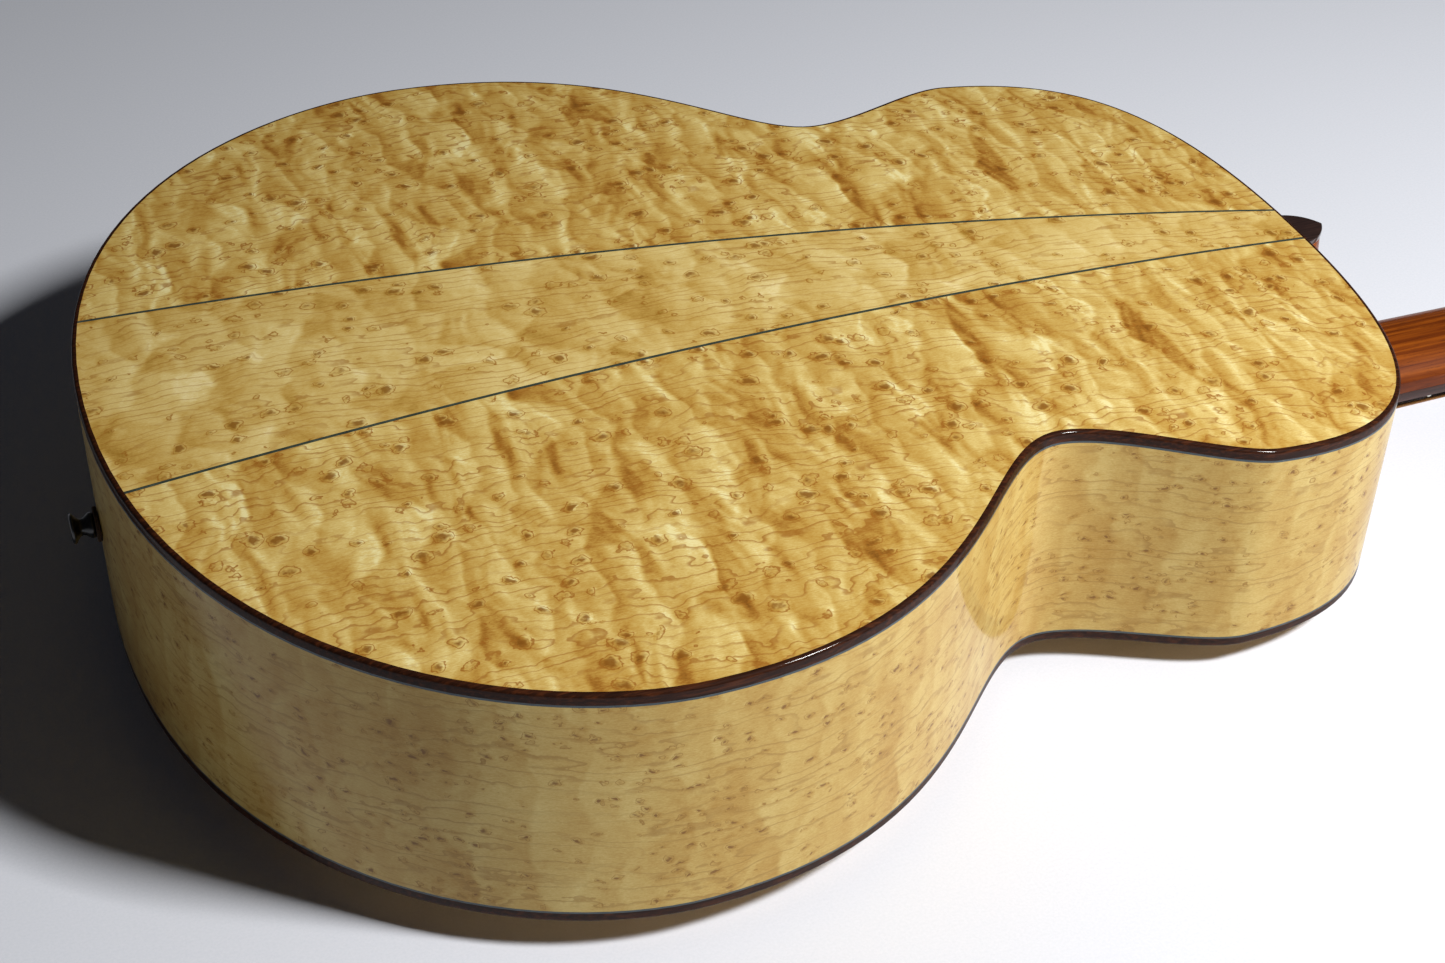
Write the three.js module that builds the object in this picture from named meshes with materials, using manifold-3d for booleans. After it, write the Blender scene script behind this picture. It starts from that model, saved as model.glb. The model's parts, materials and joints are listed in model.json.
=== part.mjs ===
// A flat-top steel-string acoustic guitar that lies on its strings, back up.
// Millimetres, +Z up, +X from the tail to the headstock, bass side towards -Y.
// The body is modelled with its soundboard face on z = 0 and its tail on x = 0. The neck hangs on the
// body by a group set at the neck angle, and the headstock on the neck by a group set at its own angle.

import * as THREE from 'three';
import { mergeVertices } from 'three/addons/utils/BufferGeometryUtils.js';
import Module from 'manifold-3d';

const wasm = await Module();
wasm.setup();

// ---------------------------------------------------------------------------------------------
// Driving dimensions
// ---------------------------------------------------------------------------------------------

const gap = 0.3; // between pieces that touch
const toRadians = Math.PI / 180;

// Outline of the body: where each bout is widest, its half width, and how long the curve runs
// straight before and after that point.
const bodyLength = 508;
const tailRoundness = 148;
const lowerBout = { x: 168, halfWidth: 209, before: 65, after: 108 };
const waist = { x: 334, halfWidth: 122, before: 34, after: 23 };
const upperBout = { x: 411.5, halfWidth: 149.5, before: 20, after: 69 };
const heelRoundness = 110;
const rimSteps = [12, 8, 5, 10]; // straight steps in each of the four curves

// The back leans from tail to heel and is arched both ways.
const depthAtTail = 107.5;
const depthAtHeel = 87;
const lengthwiseArch = 10.7;
const crosswiseArchRadius = 2960;

const sideThickness = 2.2;
const plateThickness = 2.8;
const bindingHeight = 4;
const linePurflingHeight = 0.8;
const wedgeHalfWidthAtTail = 56.7;
const wedgeHalfWidthAtHeel = 11.9;
const backStripWidth = 1.6;

const liningWidth = 5;
const liningHeight = 12;
const blockHalfWidth = 37;
const neckBlockLength = 58;
const tailBlockLength = 20;

const soundholeX = 358;
const soundholeRadius = 50;
const rosetteInnerRadius = 53;
const rosetteOuterRadius = 59.5;
const rosetteDepth = 1.2;

const scaleLength = 645;
const lastFret = 20;
const frettedBody = 14; // the fret that sits over the end of the body
const fretPosition = (fret) => scaleLength * (1 - 2 ** (-fret / 12));
const nutFromBody = fretPosition(frettedBody);
const saddleX = bodyLength - (scaleLength - nutFromBody);

const neckAngle = 0.469 * toRadians;
const headAngle = 14.5 * toRadians;
const restAngle = 0.758 * toRadians; // brings the strings level, as the guitar lies on them

const fingerboardThickness = 5.4;
const fingerboardRadius = 406;
const halfWidthAtNut = 21.3;
const halfWidthAtBody = 24.6;
const neckDepthAtNut = 13;
const neckDepthAtBody = 14.5;
const nutThickness = 5;
const nutHeight = 7.4;

const heelCapLength = 15;
const heelCapHalfWidth = 12.6;
const heelCapThickness = 2.6;
const heelCapTop = depthAtHeel - 2.6;

const headLength = 178;
const headHalfWidthAtNut = 22.5;
const headHalfWidth = 36;
const headThickness = 14;
const headplateThickness = 1.5;

const postDistances = [44, 84, 124]; // from the nut along the headstock
const postOffsets = [24, 26, 28]; // from the middle of the headstock
const postRadius = 3;
const postProud = 11.5; // above the headplate
const gearTeeth = 18;
const gearRadius = 4.8;
const wormRadius = 2.3;

const bridgeLength = 152;
const bridgeFront = 9; // ahead of the saddle
const bridgeBack = 27; // behind the saddle
const bridgeThickness = 8.8;
const saddleThickness = 2.8;
const saddleLength = 74;
const saddleTop = 11.4; // below the soundboard face, under the strings
const pinSetback = 15;
const pinHoleRadius = 2.6;

// Treble string first: its radius and its place across the nut and across the saddle.
const stringRadii = [0.16, 0.21, 0.31, 0.41, 0.54, 0.67];
const thickest = Math.max(...stringRadii);
const thinnest = Math.min(...stringRadii);
const nutSpread = 17.8;
const saddleSpread = 27.2;

const strapButtonZ = 54;
const strapButtonLength = 9;
const strapFlangeRadius = 6;

// ---------------------------------------------------------------------------------------------
// Materials
// ---------------------------------------------------------------------------------------------

const material = (color, roughness, metalness = 0) =>
  new THREE.MeshStandardMaterial({ color, roughness, metalness });

const goldenMaple = material('#c9a35b', 0.3);
const paleMaple = material('#d2b878', 0.3);
const sideMaple = material('#c6a468', 0.3);
const rosewood = material('#2a1610', 0.35);
const greyLine = material('#4f5650', 0.5);
const spruce = material('#dcb878', 0.4);
const bareSpruce = material('#d9c196', 0.8);
const mahogany = material('#7c3907', 0.35);
const ebony = material('#241612', 0.45);
const bone = material('#e8e0cc', 0.4);
const blackPlastic = material('#0d0d0e', 0.3);
const brownFelt = material('#38250f', 0.9);
const bronze = material('#b07a44', 0.35, 1);
const plainSteel = material('#c8c8ca', 0.3, 1);
const chrome = material('#d0d0d2', 0.15, 1);
const shellAndWood = material('#6c6f60', 0.35);

// ---------------------------------------------------------------------------------------------
// Solids
// ---------------------------------------------------------------------------------------------

const guitar = new THREE.Group();
guitar.rotation.y = restAngle;

const neckGroup = new THREE.Group();
neckGroup.position.x = bodyLength;
neckGroup.rotation.y = -neckAngle;
guitar.add(neckGroup);

const headGroup = new THREE.Group();
headGroup.position.x = nutFromBody + nutThickness;
headGroup.rotation.y = -headAngle;
neckGroup.add(headGroup);

neckGroup.updateMatrix();
headGroup.updateMatrix();
const neckToBody = neckGroup.matrix;
const headToBody = neckGroup.matrix.clone().multiply(headGroup.matrix);

function addPiece(parent, name, geometry, look) {
  const piece = new THREE.Mesh(geometry, look);
  piece.name = name;
  parent.add(piece);
  return piece;
}

// A closed three.js geometry as a manifold-3d solid.
function toSolid(geometry) {
  const bare = geometry.clone();
  bare.deleteAttribute('normal');
  bare.deleteAttribute('uv');
  const merged = mergeVertices(bare, 1e-4);
  return new wasm.Manifold(
    new wasm.Mesh({
      numProp: 3,
      vertProperties: merged.attributes.position.array,
      triVerts: new Uint32Array(merged.index.array),
    }),
  );
}

// A manifold-3d solid as a flat-shaded three.js geometry.
function toGeometry(solid) {
  const mesh = solid.getMesh();
  const geometry = new THREE.BufferGeometry();
  geometry.setAttribute('position', new THREE.BufferAttribute(mesh.vertProperties, 3));
  geometry.setIndex(new THREE.BufferAttribute(mesh.triVerts, 1));
  const flat = geometry.toNonIndexed();
  flat.computeVertexNormals();
  return flat;
}

const cut = (geometry, ...tools) =>
  toGeometry(tools.reduce((solid, tool) => solid.subtract(toSolid(tool)), toSolid(geometry)));
const common = (geometry, ...others) =>
  toGeometry(others.reduce((solid, other) => solid.intersect(toSolid(other)), toSolid(geometry)));
const joined = (geometry, ...others) =>
  toGeometry(others.reduce((solid, other) => solid.add(toSolid(other)), toSolid(geometry)));

function box(xLow, xHigh, yLow, yHigh, zLow, zHigh) {
  const geometry = new THREE.BoxGeometry(xHigh - xLow, yHigh - yLow, zHigh - zLow);
  return geometry.translate((xLow + xHigh) / 2, (yLow + yHigh) / 2, (zLow + zHigh) / 2);
}

// A cylinder along Z, or along X.
function uprightCylinder(radius, x, y, zLow, zHigh, sides = 16) {
  const geometry = new THREE.CylinderGeometry(radius, radius, zHigh - zLow, sides);
  return geometry.rotateX(Math.PI / 2).translate(x, y, (zLow + zHigh) / 2);
}
function lyingCylinder(radius, xLow, xHigh, y, z, sides = 16) {
  const geometry = new THREE.CylinderGeometry(radius, radius, xHigh - xLow, sides);
  return geometry.rotateZ(Math.PI / 2).translate((xLow + xHigh) / 2, y, z);
}

// A flat outline raised from zLow to zHigh. A hole is another outline.
function prism(points, zLow, zHigh, holes = []) {
  const shape = new THREE.Shape(points);
  shape.holes = holes.map((hole) => new THREE.Path(hole));
  const geometry = new THREE.ExtrudeGeometry(shape, {
    depth: zHigh - zLow,
    bevelEnabled: false,
  });
  return geometry.translate(0, 0, zLow);
}

function circlePoints(radius, x, y, sides) {
  return new THREE.EllipseCurve(x, y, radius, radius).getPoints(sides).slice(0, sides);
}

// Moves the floor and the ceiling of a unit-high solid to two curved heights.
function drape(geometry, floor, ceiling) {
  const position = geometry.attributes.position;
  for (let i = 0; i < position.count; i++) {
    const x = position.getX(i);
    const y = position.getY(i);
    position.setZ(i, position.getZ(i) < 0.5 ? floor(x, y) : ceiling(x, y));
  }
  return geometry;
}

// A solid through rings of points that all have the same count. Each ring runs counter-clockwise as the
// next ring sees it. The last ring leads back to the first, or, where flatten is given, both ends are
// filled in the plane that it lays them in.
function loft(rings, flatten = null) {
  const count = rings[0].length;
  const triangles = [];
  const spans = flatten ? rings.length - 1 : rings.length;
  for (let k = 0; k < spans; k++) {
    const here = rings[k];
    const next = rings[(k + 1) % rings.length];
    for (let i = 0; i < count; i++) {
      const j = (i + 1) % count;
      triangles.push(here[i], here[j], next[j]);
      triangles.push(here[i], next[j], next[i]);
    }
  }
  const fill = (ring, outward) => {
    const flat = ring.map(flatten);
    const faces = THREE.ShapeUtils.triangulateShape(flat, []);
    const turnOf = (points) => THREE.ShapeUtils.isClockWise(points);
    const sameTurn = turnOf(faces[0].map((i) => flat[i])) === turnOf(flat);
    for (const [a, b, c] of faces) {
      triangles.push(...(sameTurn === outward ? [ring[a], ring[b], ring[c]] : [ring[a], ring[c], ring[b]]));
    }
  };
  if (flatten) {
    fill(rings[0], false);
    fill(rings[rings.length - 1], true);
  }
  return new THREE.BufferGeometry().setFromPoints(triangles);
}

// ---------------------------------------------------------------------------------------------
// Outline and back surface
// ---------------------------------------------------------------------------------------------

const rim = new THREE.Path();
rim.moveTo(0, 0);
rim.bezierCurveTo(
  0, tailRoundness,
  lowerBout.x - lowerBout.before, lowerBout.halfWidth,
  lowerBout.x, lowerBout.halfWidth,
);
rim.bezierCurveTo(
  lowerBout.x + lowerBout.after, lowerBout.halfWidth,
  waist.x - waist.before, waist.halfWidth,
  waist.x, waist.halfWidth,
);
rim.bezierCurveTo(
  waist.x + waist.after, waist.halfWidth,
  upperBout.x - upperBout.before, upperBout.halfWidth,
  upperBout.x, upperBout.halfWidth,
);
rim.bezierCurveTo(
  upperBout.x + upperBout.after, upperBout.halfWidth,
  bodyLength, heelRoundness,
  bodyLength, 0,
);

// The treble half of the outline from tail to heel, moved inwards by inset.
function halfOutline(inset) {
  const points = [];
  rim.curves.forEach((curve, index) => {
    const steps = rimSteps[index];
    const first = index === 0 ? 0 : 1;
    for (let i = first; i <= steps; i++) {
      const tangent = curve.getTangent(i / steps);
      const inward = new THREE.Vector2(tangent.y, -tangent.x);
      points.push(curve.getPoint(i / steps).addScaledVector(inward, inset));
    }
  });
  return points;
}

const mirrored = (points) => points.map((point) => new THREE.Vector2(point.x, -point.y));

// The whole outline, counter-clockwise from the tail.
function fullOutline(inset) {
  const half = halfOutline(inset);
  return [...mirrored(half), ...half.slice(1, -1).reverse()];
}

// One half of the outline, counter-clockwise, stopping short of the middle of the body: side is 1 for
// treble, -1 for bass.
function sideOutline(inset, side) {
  const half = halfOutline(inset).map((point) => new THREE.Vector2(point.x, Math.max(point.y, gap / 2)));
  return side > 0 ? half.reverse() : mirrored(half);
}

const backHeight = (x, y) => {
  const along = x / bodyLength;
  const lean = depthAtTail + (depthAtHeel - depthAtTail) * along;
  return lean + 4 * lengthwiseArch * along * (1 - along) - (y * y) / (2 * crosswiseArchRadius);
};
const underBack = (depth) => (x, y) => backHeight(x, y) - depth;
const level = (height) => () => height;

// A wall of the rim between an outer and an inner line of points, both counter-clockwise.
function rimWall(outer, inner, floor, ceiling, flatten = null) {
  const sections = outer.map((far, index) => {
    const near = inner[index];
    return [
      new THREE.Vector3(near.x, near.y, floor(near.x, near.y)),
      new THREE.Vector3(near.x, near.y, ceiling(near.x, near.y)),
      new THREE.Vector3(far.x, far.y, ceiling(far.x, far.y)),
      new THREE.Vector3(far.x, far.y, floor(far.x, far.y)),
    ];
  });
  return loft(sections, flatten);
}
const ring = (outerInset, innerInset, floor, ceiling) =>
  rimWall(fullOutline(outerInset), fullOutline(innerInset), floor, ceiling);

// ---------------------------------------------------------------------------------------------
// Rim: sides, binding, purfling lines, linings
// ---------------------------------------------------------------------------------------------

const sideEdge = bindingHeight + gap + linePurflingHeight + gap;
const screwHole = lyingCylinder(2.1, -2, 30, 0, strapButtonZ);

for (const [name, side] of [['side_treble', 1], ['side_bass', -1]]) {
  const wall = rimWall(
    sideOutline(0, side),
    sideOutline(sideThickness, side),
    level(sideEdge),
    underBack(sideEdge),
    (point) => new THREE.Vector2(point.x, point.z),
  );
  addPiece(guitar, name, cut(wall, screwHole), sideMaple);
}

const edgeLayer = (name, floor, ceiling, look) =>
  addPiece(guitar, name, ring(0, sideThickness, floor, ceiling), look);
edgeLayer('top_binding', level(0), level(bindingHeight), rosewood);
edgeLayer('top_side_purfling', level(bindingHeight + gap), level(sideEdge - gap), greyLine);
edgeLayer('back_side_purfling', underBack(sideEdge - gap), underBack(bindingHeight + gap), greyLine);
edgeLayer('back_binding', underBack(bindingHeight), backHeight, rosewood);

const liningInset = sideThickness + gap;
const liningFoot = plateThickness + gap; // where a lining meets the inside of a plate
const liningReach = liningFoot + liningHeight;
const liningLayer = (name, floor, ceiling) =>
  addPiece(guitar, name, ring(liningInset, liningInset + liningWidth, floor, ceiling), bareSpruce);
liningLayer('top_lining', level(liningFoot), level(liningReach));
liningLayer('back_lining', underBack(liningReach), underBack(liningFoot));

// A sheet in small cells over the whole body, so that it follows the arch of the back.
const sheetCells = { along: 16, across: 10 };
function arched(floor, ceiling) {
  const sheet = new THREE.BoxGeometry(
    bodyLength, 2 * lowerBout.halfWidth, 1, sheetCells.along, sheetCells.across, 1,
  );
  return drape(sheet.translate(bodyLength / 2, 0, 0.5), floor, ceiling);
}
const insideOutline = (inset) => prism(fullOutline(inset), 0, 2 * depthAtTail);

// The blocks fill the body's height at each end, rebated to let the linings run past them.
function block(xLow, xHigh) {
  const reach = box(xLow, xHigh, -blockHalfWidth, blockHalfWidth, 0, 2 * depthAtTail);
  const tall = arched(level(liningFoot), underBack(liningFoot));
  const low = arched(level(liningReach + gap), underBack(liningReach + gap));
  return joined(
    common(tall, insideOutline(liningInset + liningWidth + gap), reach),
    common(low, insideOutline(liningInset), reach),
  );
}
addPiece(guitar, 'tail_block', cut(block(0, tailBlockLength), screwHole), mahogany);
addPiece(guitar, 'neck_block', block(bodyLength - neckBlockLength, bodyLength), mahogany);

// ---------------------------------------------------------------------------------------------
// Back: two wings, a centre wedge, and the strips between them
// ---------------------------------------------------------------------------------------------

const plateInset = sideThickness + gap;

// The part of the back between two straight lines, each given by its distance from the middle at the
// tail and at the heel.
function backPiece(tailLow, tailHigh, heelLow, heelHigh) {
  const sector = prism(
    [
      new THREE.Vector2(0, tailLow),
      new THREE.Vector2(bodyLength, heelLow),
      new THREE.Vector2(bodyLength, heelHigh),
      new THREE.Vector2(0, tailHigh),
    ],
    0,
    2 * depthAtTail,
  );
  return common(arched(underBack(plateThickness), backHeight), insideOutline(plateInset), sector);
}

const stripHalf = backStripWidth / 2;
const pastEdge = lowerBout.halfWidth + 10;
const nearStrip = stripHalf + gap;
addPiece(
  guitar,
  'back_centre_wedge',
  backPiece(
    nearStrip - wedgeHalfWidthAtTail, wedgeHalfWidthAtTail - nearStrip,
    nearStrip - wedgeHalfWidthAtHeel, wedgeHalfWidthAtHeel - nearStrip,
  ),
  paleMaple,
);
addPiece(
  guitar,
  'back_treble_wing',
  backPiece(wedgeHalfWidthAtTail + nearStrip, pastEdge, wedgeHalfWidthAtHeel + nearStrip, pastEdge),
  goldenMaple,
);
addPiece(
  guitar,
  'back_bass_wing',
  backPiece(-pastEdge, -wedgeHalfWidthAtTail - nearStrip, -pastEdge, -wedgeHalfWidthAtHeel - nearStrip),
  goldenMaple,
);
for (const [name, side] of [['back_strip_treble', 1], ['back_strip_bass', -1]]) {
  const atTail = side * wedgeHalfWidthAtTail;
  const atHeel = side * wedgeHalfWidthAtHeel;
  const strip = backPiece(atTail - stripHalf, atTail + stripHalf, atHeel - stripHalf, atHeel + stripHalf);
  addPiece(guitar, name, strip, greyLine);
}

// Braces under the back, each a bar whose ends are planed down to meet the lining.
const barTop = liningFoot;
function bar(length, width, height, endHeight, taper) {
  const half = length / 2;
  const profile = [
    new THREE.Vector2(-half, 0),
    new THREE.Vector2(half, 0),
    new THREE.Vector2(half, endHeight),
    new THREE.Vector2(half - taper, height),
    new THREE.Vector2(taper - half, height),
    new THREE.Vector2(-half, endHeight),
  ];
  return prism(profile, -width / 2, width / 2).rotateX(Math.PI / 2);
}

const backBraces = [
  { x: 88, length: 330, width: 14, height: 9 },
  { x: 196, length: 386, width: 14, height: 9 },
  { x: 316, length: 236, width: 7, height: 15 },
  { x: 415, length: 274, width: 7, height: 15 },
];
const braceClearance = 0.8;
backBraces.forEach(({ x, length, width, height }, index) => {
  const ceiling = backHeight(x + width, length / 2) - liningFoot - braceClearance;
  const hanging = bar(length, width, height, 4, 45)
    .rotateX(Math.PI)
    .rotateZ(Math.PI / 2)
    .translate(x, 0, ceiling);
  addPiece(guitar, `back_brace_${index + 1}`, hanging, bareSpruce);
});

// ---------------------------------------------------------------------------------------------
// Soundboard, rosette and braces
// ---------------------------------------------------------------------------------------------

const stringSpread = (index, spread) => spread * (1 - index / 2.5);
const pinX = saddleX - pinSetback;
const pinHoles = stringRadii.map((_, index) =>
  uprightCylinder(pinHoleRadius, pinX, stringSpread(index, saddleSpread), -20, 20, 10),
);

const soundboard = prism(fullOutline(plateInset), 0, plateThickness, [
  circlePoints(soundholeRadius, soundholeX, 0, 48),
]);
const rosetteRing = (inner, outer, zLow, zHigh) =>
  prism(circlePoints(outer, soundholeX, 0, 48), zLow, zHigh, [circlePoints(inner, soundholeX, 0, 48)]);
const rosetteGroove = rosetteRing(
  rosetteInnerRadius - gap,
  rosetteOuterRadius + gap,
  -1,
  rosetteDepth + gap,
);
addPiece(guitar, 'soundboard', cut(soundboard, rosetteGroove, ...pinHoles), spruce);
const inlay = rosetteRing(rosetteInnerRadius, rosetteOuterRadius, 0, rosetteDepth);
addPiece(guitar, 'rosette', inlay, shellAndWood);

function standingBar(x, y, turn, length, width, height, endHeight, taper) {
  return bar(length, width, height, endHeight, taper)
    .rotateZ(turn)
    .translate(x, y, barTop);
}
const crossX = 264;
const crossTurn = 49 * toRadians;
const crossBar = (turn) => standingBar(crossX, 0, turn, 316, 8, 14, 3, 60);
addPiece(guitar, 'x_brace', joined(crossBar(crossTurn), crossBar(-crossTurn)), bareSpruce);
addPiece(
  guitar,
  'upper_transverse_brace',
  standingBar(428, 0, Math.PI / 2, 262, 10, 15, 4, 30),
  bareSpruce,
);
for (const [index, x] of [150, 108].entries()) {
  const toneBar = standingBar(x, 12, -68 * toRadians, 150, 7, 9, 2, 45);
  addPiece(guitar, `tone_bar_${index + 1}`, toneBar, bareSpruce);
}
addPiece(
  guitar,
  'bridge_plate',
  cut(box(pinX - 16, pinX + 16, -36, 36, barTop, barTop + 2.4), ...pinHoles),
  goldenMaple,
);

// ---------------------------------------------------------------------------------------------
// Bridge and saddle
// ---------------------------------------------------------------------------------------------

const bridgeMid = saddleX + (bridgeFront - bridgeBack) / 2;
const bridgeHalfWidth = (bridgeFront + bridgeBack) / 2;
const bridgeHalfLength = bridgeLength / 2;
const bridgeWing = 34; // the thin end on each side
const bridgeProfile = [
  new THREE.Vector2(-bridgeHalfLength, -gap),
  new THREE.Vector2(bridgeHalfLength, -gap),
  new THREE.Vector2(bridgeHalfLength, -3.5),
  new THREE.Vector2(bridgeHalfLength - bridgeWing + 8, -4.5),
  new THREE.Vector2(bridgeHalfLength - bridgeWing, -bridgeThickness),
  new THREE.Vector2(bridgeWing - bridgeHalfLength, -bridgeThickness),
  new THREE.Vector2(bridgeWing - bridgeHalfLength - 8, -4.5),
  new THREE.Vector2(-bridgeHalfLength, -3.5),
];
const bridgeBlank = prism(bridgeProfile, -bridgeHalfWidth, bridgeHalfWidth)
  .rotateX(Math.PI / 2)
  .rotateZ(Math.PI / 2)
  .translate(bridgeMid, 0, 0);

// The crown of the saddle and of the nut leans, so that strings of all thicknesses end on one level.
function leaningCrown(geometry, crown, spread) {
  const position = geometry.attributes.position;
  for (let i = 0; i < position.count; i++) {
    if (Math.abs(position.getZ(i) - crown) < gap) {
      position.setZ(i, crown - (thickest - thinnest) * (1 + position.getY(i) / spread));
    }
  }
  return geometry;
}

const saddleSlant = 0.035; // the bass string sounds a little longer
const saddleFloor = 4.4;
const saddleBlank = (grow, zLow) =>
  box(
    -saddleThickness / 2 - grow, saddleThickness / 2 + grow,
    -saddleLength / 2 - grow, saddleLength / 2 + grow,
    zLow, -saddleFloor + grow,
  );
const onBridge = (geometry) => geometry.rotateZ(-saddleSlant).translate(saddleX, 0, 0);
const saddleSlot = onBridge(saddleBlank(gap, -20));
addPiece(guitar, 'bridge', cut(bridgeBlank, saddleSlot, ...pinHoles), ebony);
const crownedSaddle = leaningCrown(saddleBlank(0, -saddleTop), -saddleTop, saddleSpread);
addPiece(guitar, 'saddle', onBridge(crownedSaddle), bone);

// ---------------------------------------------------------------------------------------------
// Neck, heel and headstock in one piece of wood
// ---------------------------------------------------------------------------------------------

const shaftStart = 8;
const shaftSections = 6;
const sectionSteps = 12;

// A half ellipse, from the treble edge over the back of the neck to the bass edge.
function neckSection(x, halfWidth, depth) {
  const points = [];
  for (let i = 0; i <= sectionSteps; i++) {
    const angle = (Math.PI * i) / sectionSteps;
    const flat = Math.sign(Math.cos(angle)) * Math.abs(Math.cos(angle)) ** 0.85;
    points.push(new THREE.Vector3(x, halfWidth * flat, gap / 2 + depth * Math.sin(angle) ** 0.85));
  }
  return points;
}
const along = (start, end, amount) => start + (end - start) * amount;
const shaftRings = [];
for (let i = 0; i <= shaftSections; i++) {
  const amount = i / shaftSections;
  shaftRings.push(
    neckSection(
      along(-shaftStart, nutFromBody + nutThickness, amount),
      along(halfWidthAtBody, halfWidthAtNut, amount),
      along(neckDepthAtBody, neckDepthAtNut, amount),
    ),
  );
}
// Past the nut the round back runs out into the flat of the headstock.
shaftRings.push(neckSection(nutFromBody + nutThickness + 16, halfWidthAtNut, neckDepthAtNut + 4));
shaftRings.push(neckSection(nutFromBody + nutThickness + 34, halfWidthAtNut - 6, neckDepthAtNut + 6));
const shaft = loft(shaftRings, (point) => new THREE.Vector2(point.y, point.z)).applyMatrix4(neckToBody);

// The heel is a stack of pointed arches, long where it leaves the neck and short under the cap.
const heelSteps = 10;
function heelArch(z, length, halfWidth) {
  const side = new THREE.QuadraticBezierCurve(
    new THREE.Vector2(0, halfWidth),
    new THREE.Vector2(length * 0.72, halfWidth * 0.92),
    new THREE.Vector2(length, 0),
  );
  const treble = side.getPoints(heelSteps);
  const points = [...mirrored(treble), ...treble.slice(0, -1).reverse()];
  return points.map((point) => new THREE.Vector3(bodyLength - shaftStart + point.x, point.y, z));
}
const heelFoot = 5;
const heelHead = heelCapTop - heelCapThickness - gap;
const heelLevels = 9;
const heelRings = [];
for (let i = 0; i <= heelLevels; i++) {
  const rise = i / heelLevels;
  const sweep = (1 - rise) ** 3.2;
  heelRings.push(
    heelArch(
      along(heelFoot, heelHead, rise),
      shaftStart + heelCapLength + 6 * (1 - rise) + 58 * sweep,
      heelCapHalfWidth + (halfWidthAtBody - heelCapHalfWidth - 1) * (1 - rise) ** 1.3,
    ),
  );
}
const heel = loft(heelRings, (point) => new THREE.Vector2(point.x, point.y));

// The headstock's outline: narrow at the nut, wide over the tuners, with a low arched crown.
const headShape = new THREE.Shape();
headShape.moveTo(0, -headHalfWidthAtNut + 1);
headShape.quadraticCurveTo(14, -headHalfWidthAtNut, 24, -headHalfWidth + 6);
headShape.lineTo(headLength - 10, -headHalfWidth);
headShape.quadraticCurveTo(headLength - 4, -headHalfWidth * 0.4, headLength, 0);
headShape.quadraticCurveTo(headLength - 4, headHalfWidth * 0.4, headLength - 10, headHalfWidth);
headShape.lineTo(24, headHalfWidth - 6);
headShape.quadraticCurveTo(14, headHalfWidthAtNut, 0, headHalfWidthAtNut - 1);
const headOutline = headShape.getPoints(5);

const tuners = [];
for (const side of [1, -1]) {
  postDistances.forEach((distance, index) => {
    const string = side > 0 ? index : 5 - index;
    tuners[string] = { side, x: distance, y: side * postOffsets[index] };
  });
}
const postHoles = tuners.map(({ x, y }) => uprightCylinder(postRadius + 0.5, x, y, -10, 30));

const head = prism(headOutline, gap / 2, headThickness);
const shavedHead = postHoles.reduce((solid, hole) => solid.subtract(toSolid(hole)), toSolid(head));
const headInBody = toGeometry(shavedHead).applyMatrix4(headToBody);

const rodStart = 6;
const rodLength = 344;
const rodChannel = box(rodStart - 1, rodStart + rodLength + 1, -3.3, 3.3, -5, 9.4).applyMatrix4(neckToBody);
const bodyRoom = prism(fullOutline(-gap), -5, 2 * depthAtTail);
const faceOfHead = box(-20, headLength + 20, -60, 60, -60, gap / 2).applyMatrix4(headToBody);
const wood = joined(toGeometry(toSolid(shaft).add(toSolid(heel))), headInBody);
const facedWood = toSolid(wood).subtract(toSolid(faceOfHead)).subtract(toSolid(bodyRoom));
addPiece(guitar, 'neck', toGeometry(facedWood.subtract(toSolid(rodChannel))), mahogany);

const capArch = heelArch(0, shaftStart + heelCapLength, heelCapHalfWidth);
const heelCap = prism(
  capArch.map((point) => new THREE.Vector2(point.x, point.y)),
  heelCapTop - heelCapThickness,
  heelCapTop,
);
addPiece(guitar, 'heel_cap', cut(heelCap, bodyRoom), ebony);

// ---------------------------------------------------------------------------------------------
// Fingerboard, nut, truss rod, headplate
// ---------------------------------------------------------------------------------------------

const boardEnd = nutFromBody - fretPosition(lastFret) - 4;
const widthSlope = (halfWidthAtNut - halfWidthAtBody) / nutFromBody;
const boardHalfWidth = (x) => halfWidthAtBody + widthSlope * x;
const board = new THREE.BoxGeometry(nutFromBody - gap - boardEnd, 2, 1, 1, 8, 1);
board.translate((nutFromBody - gap + boardEnd) / 2, 0, -0.5);
const boardPoints = board.attributes.position;
for (let i = 0; i < boardPoints.count; i++) {
  const y = boardPoints.getY(i) * boardHalfWidth(boardPoints.getX(i));
  const isFace = boardPoints.getZ(i) < -0.5;
  boardPoints.setY(i, y);
  boardPoints.setZ(i, isFace ? (y * y) / (2 * fingerboardRadius) - fingerboardThickness : -gap / 2);
}
addPiece(neckGroup, 'fingerboard', board, ebony);
const nutCrown = 1.1 - nutHeight;
const nutBlank = box(
  nutFromBody, nutFromBody + nutThickness - gap,
  -halfWidthAtNut, halfWidthAtNut,
  nutCrown, -gap / 2,
);
addPiece(neckGroup, 'nut', leaningCrown(nutBlank, nutCrown, nutSpread), bone);
const rod = joined(
  lyingCylinder(2.9, rodStart, rodStart + rodLength, 0, 4.4, 10),
  box(rodStart, rodStart + rodLength, -2.6, 2.6, 4.4, 9),
);
addPiece(neckGroup, 'truss_rod', rod, plainSteel);
const plateOutline = headOutline.map((point) => new THREE.Vector2(Math.max(point.x, gap), point.y));
const headplate = prism(plateOutline, -headplateThickness, -gap / 2);
addPiece(headGroup, 'headplate', cut(headplate, ...postHoles), ebony);

// ---------------------------------------------------------------------------------------------
// Tuning machines
// ---------------------------------------------------------------------------------------------

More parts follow.
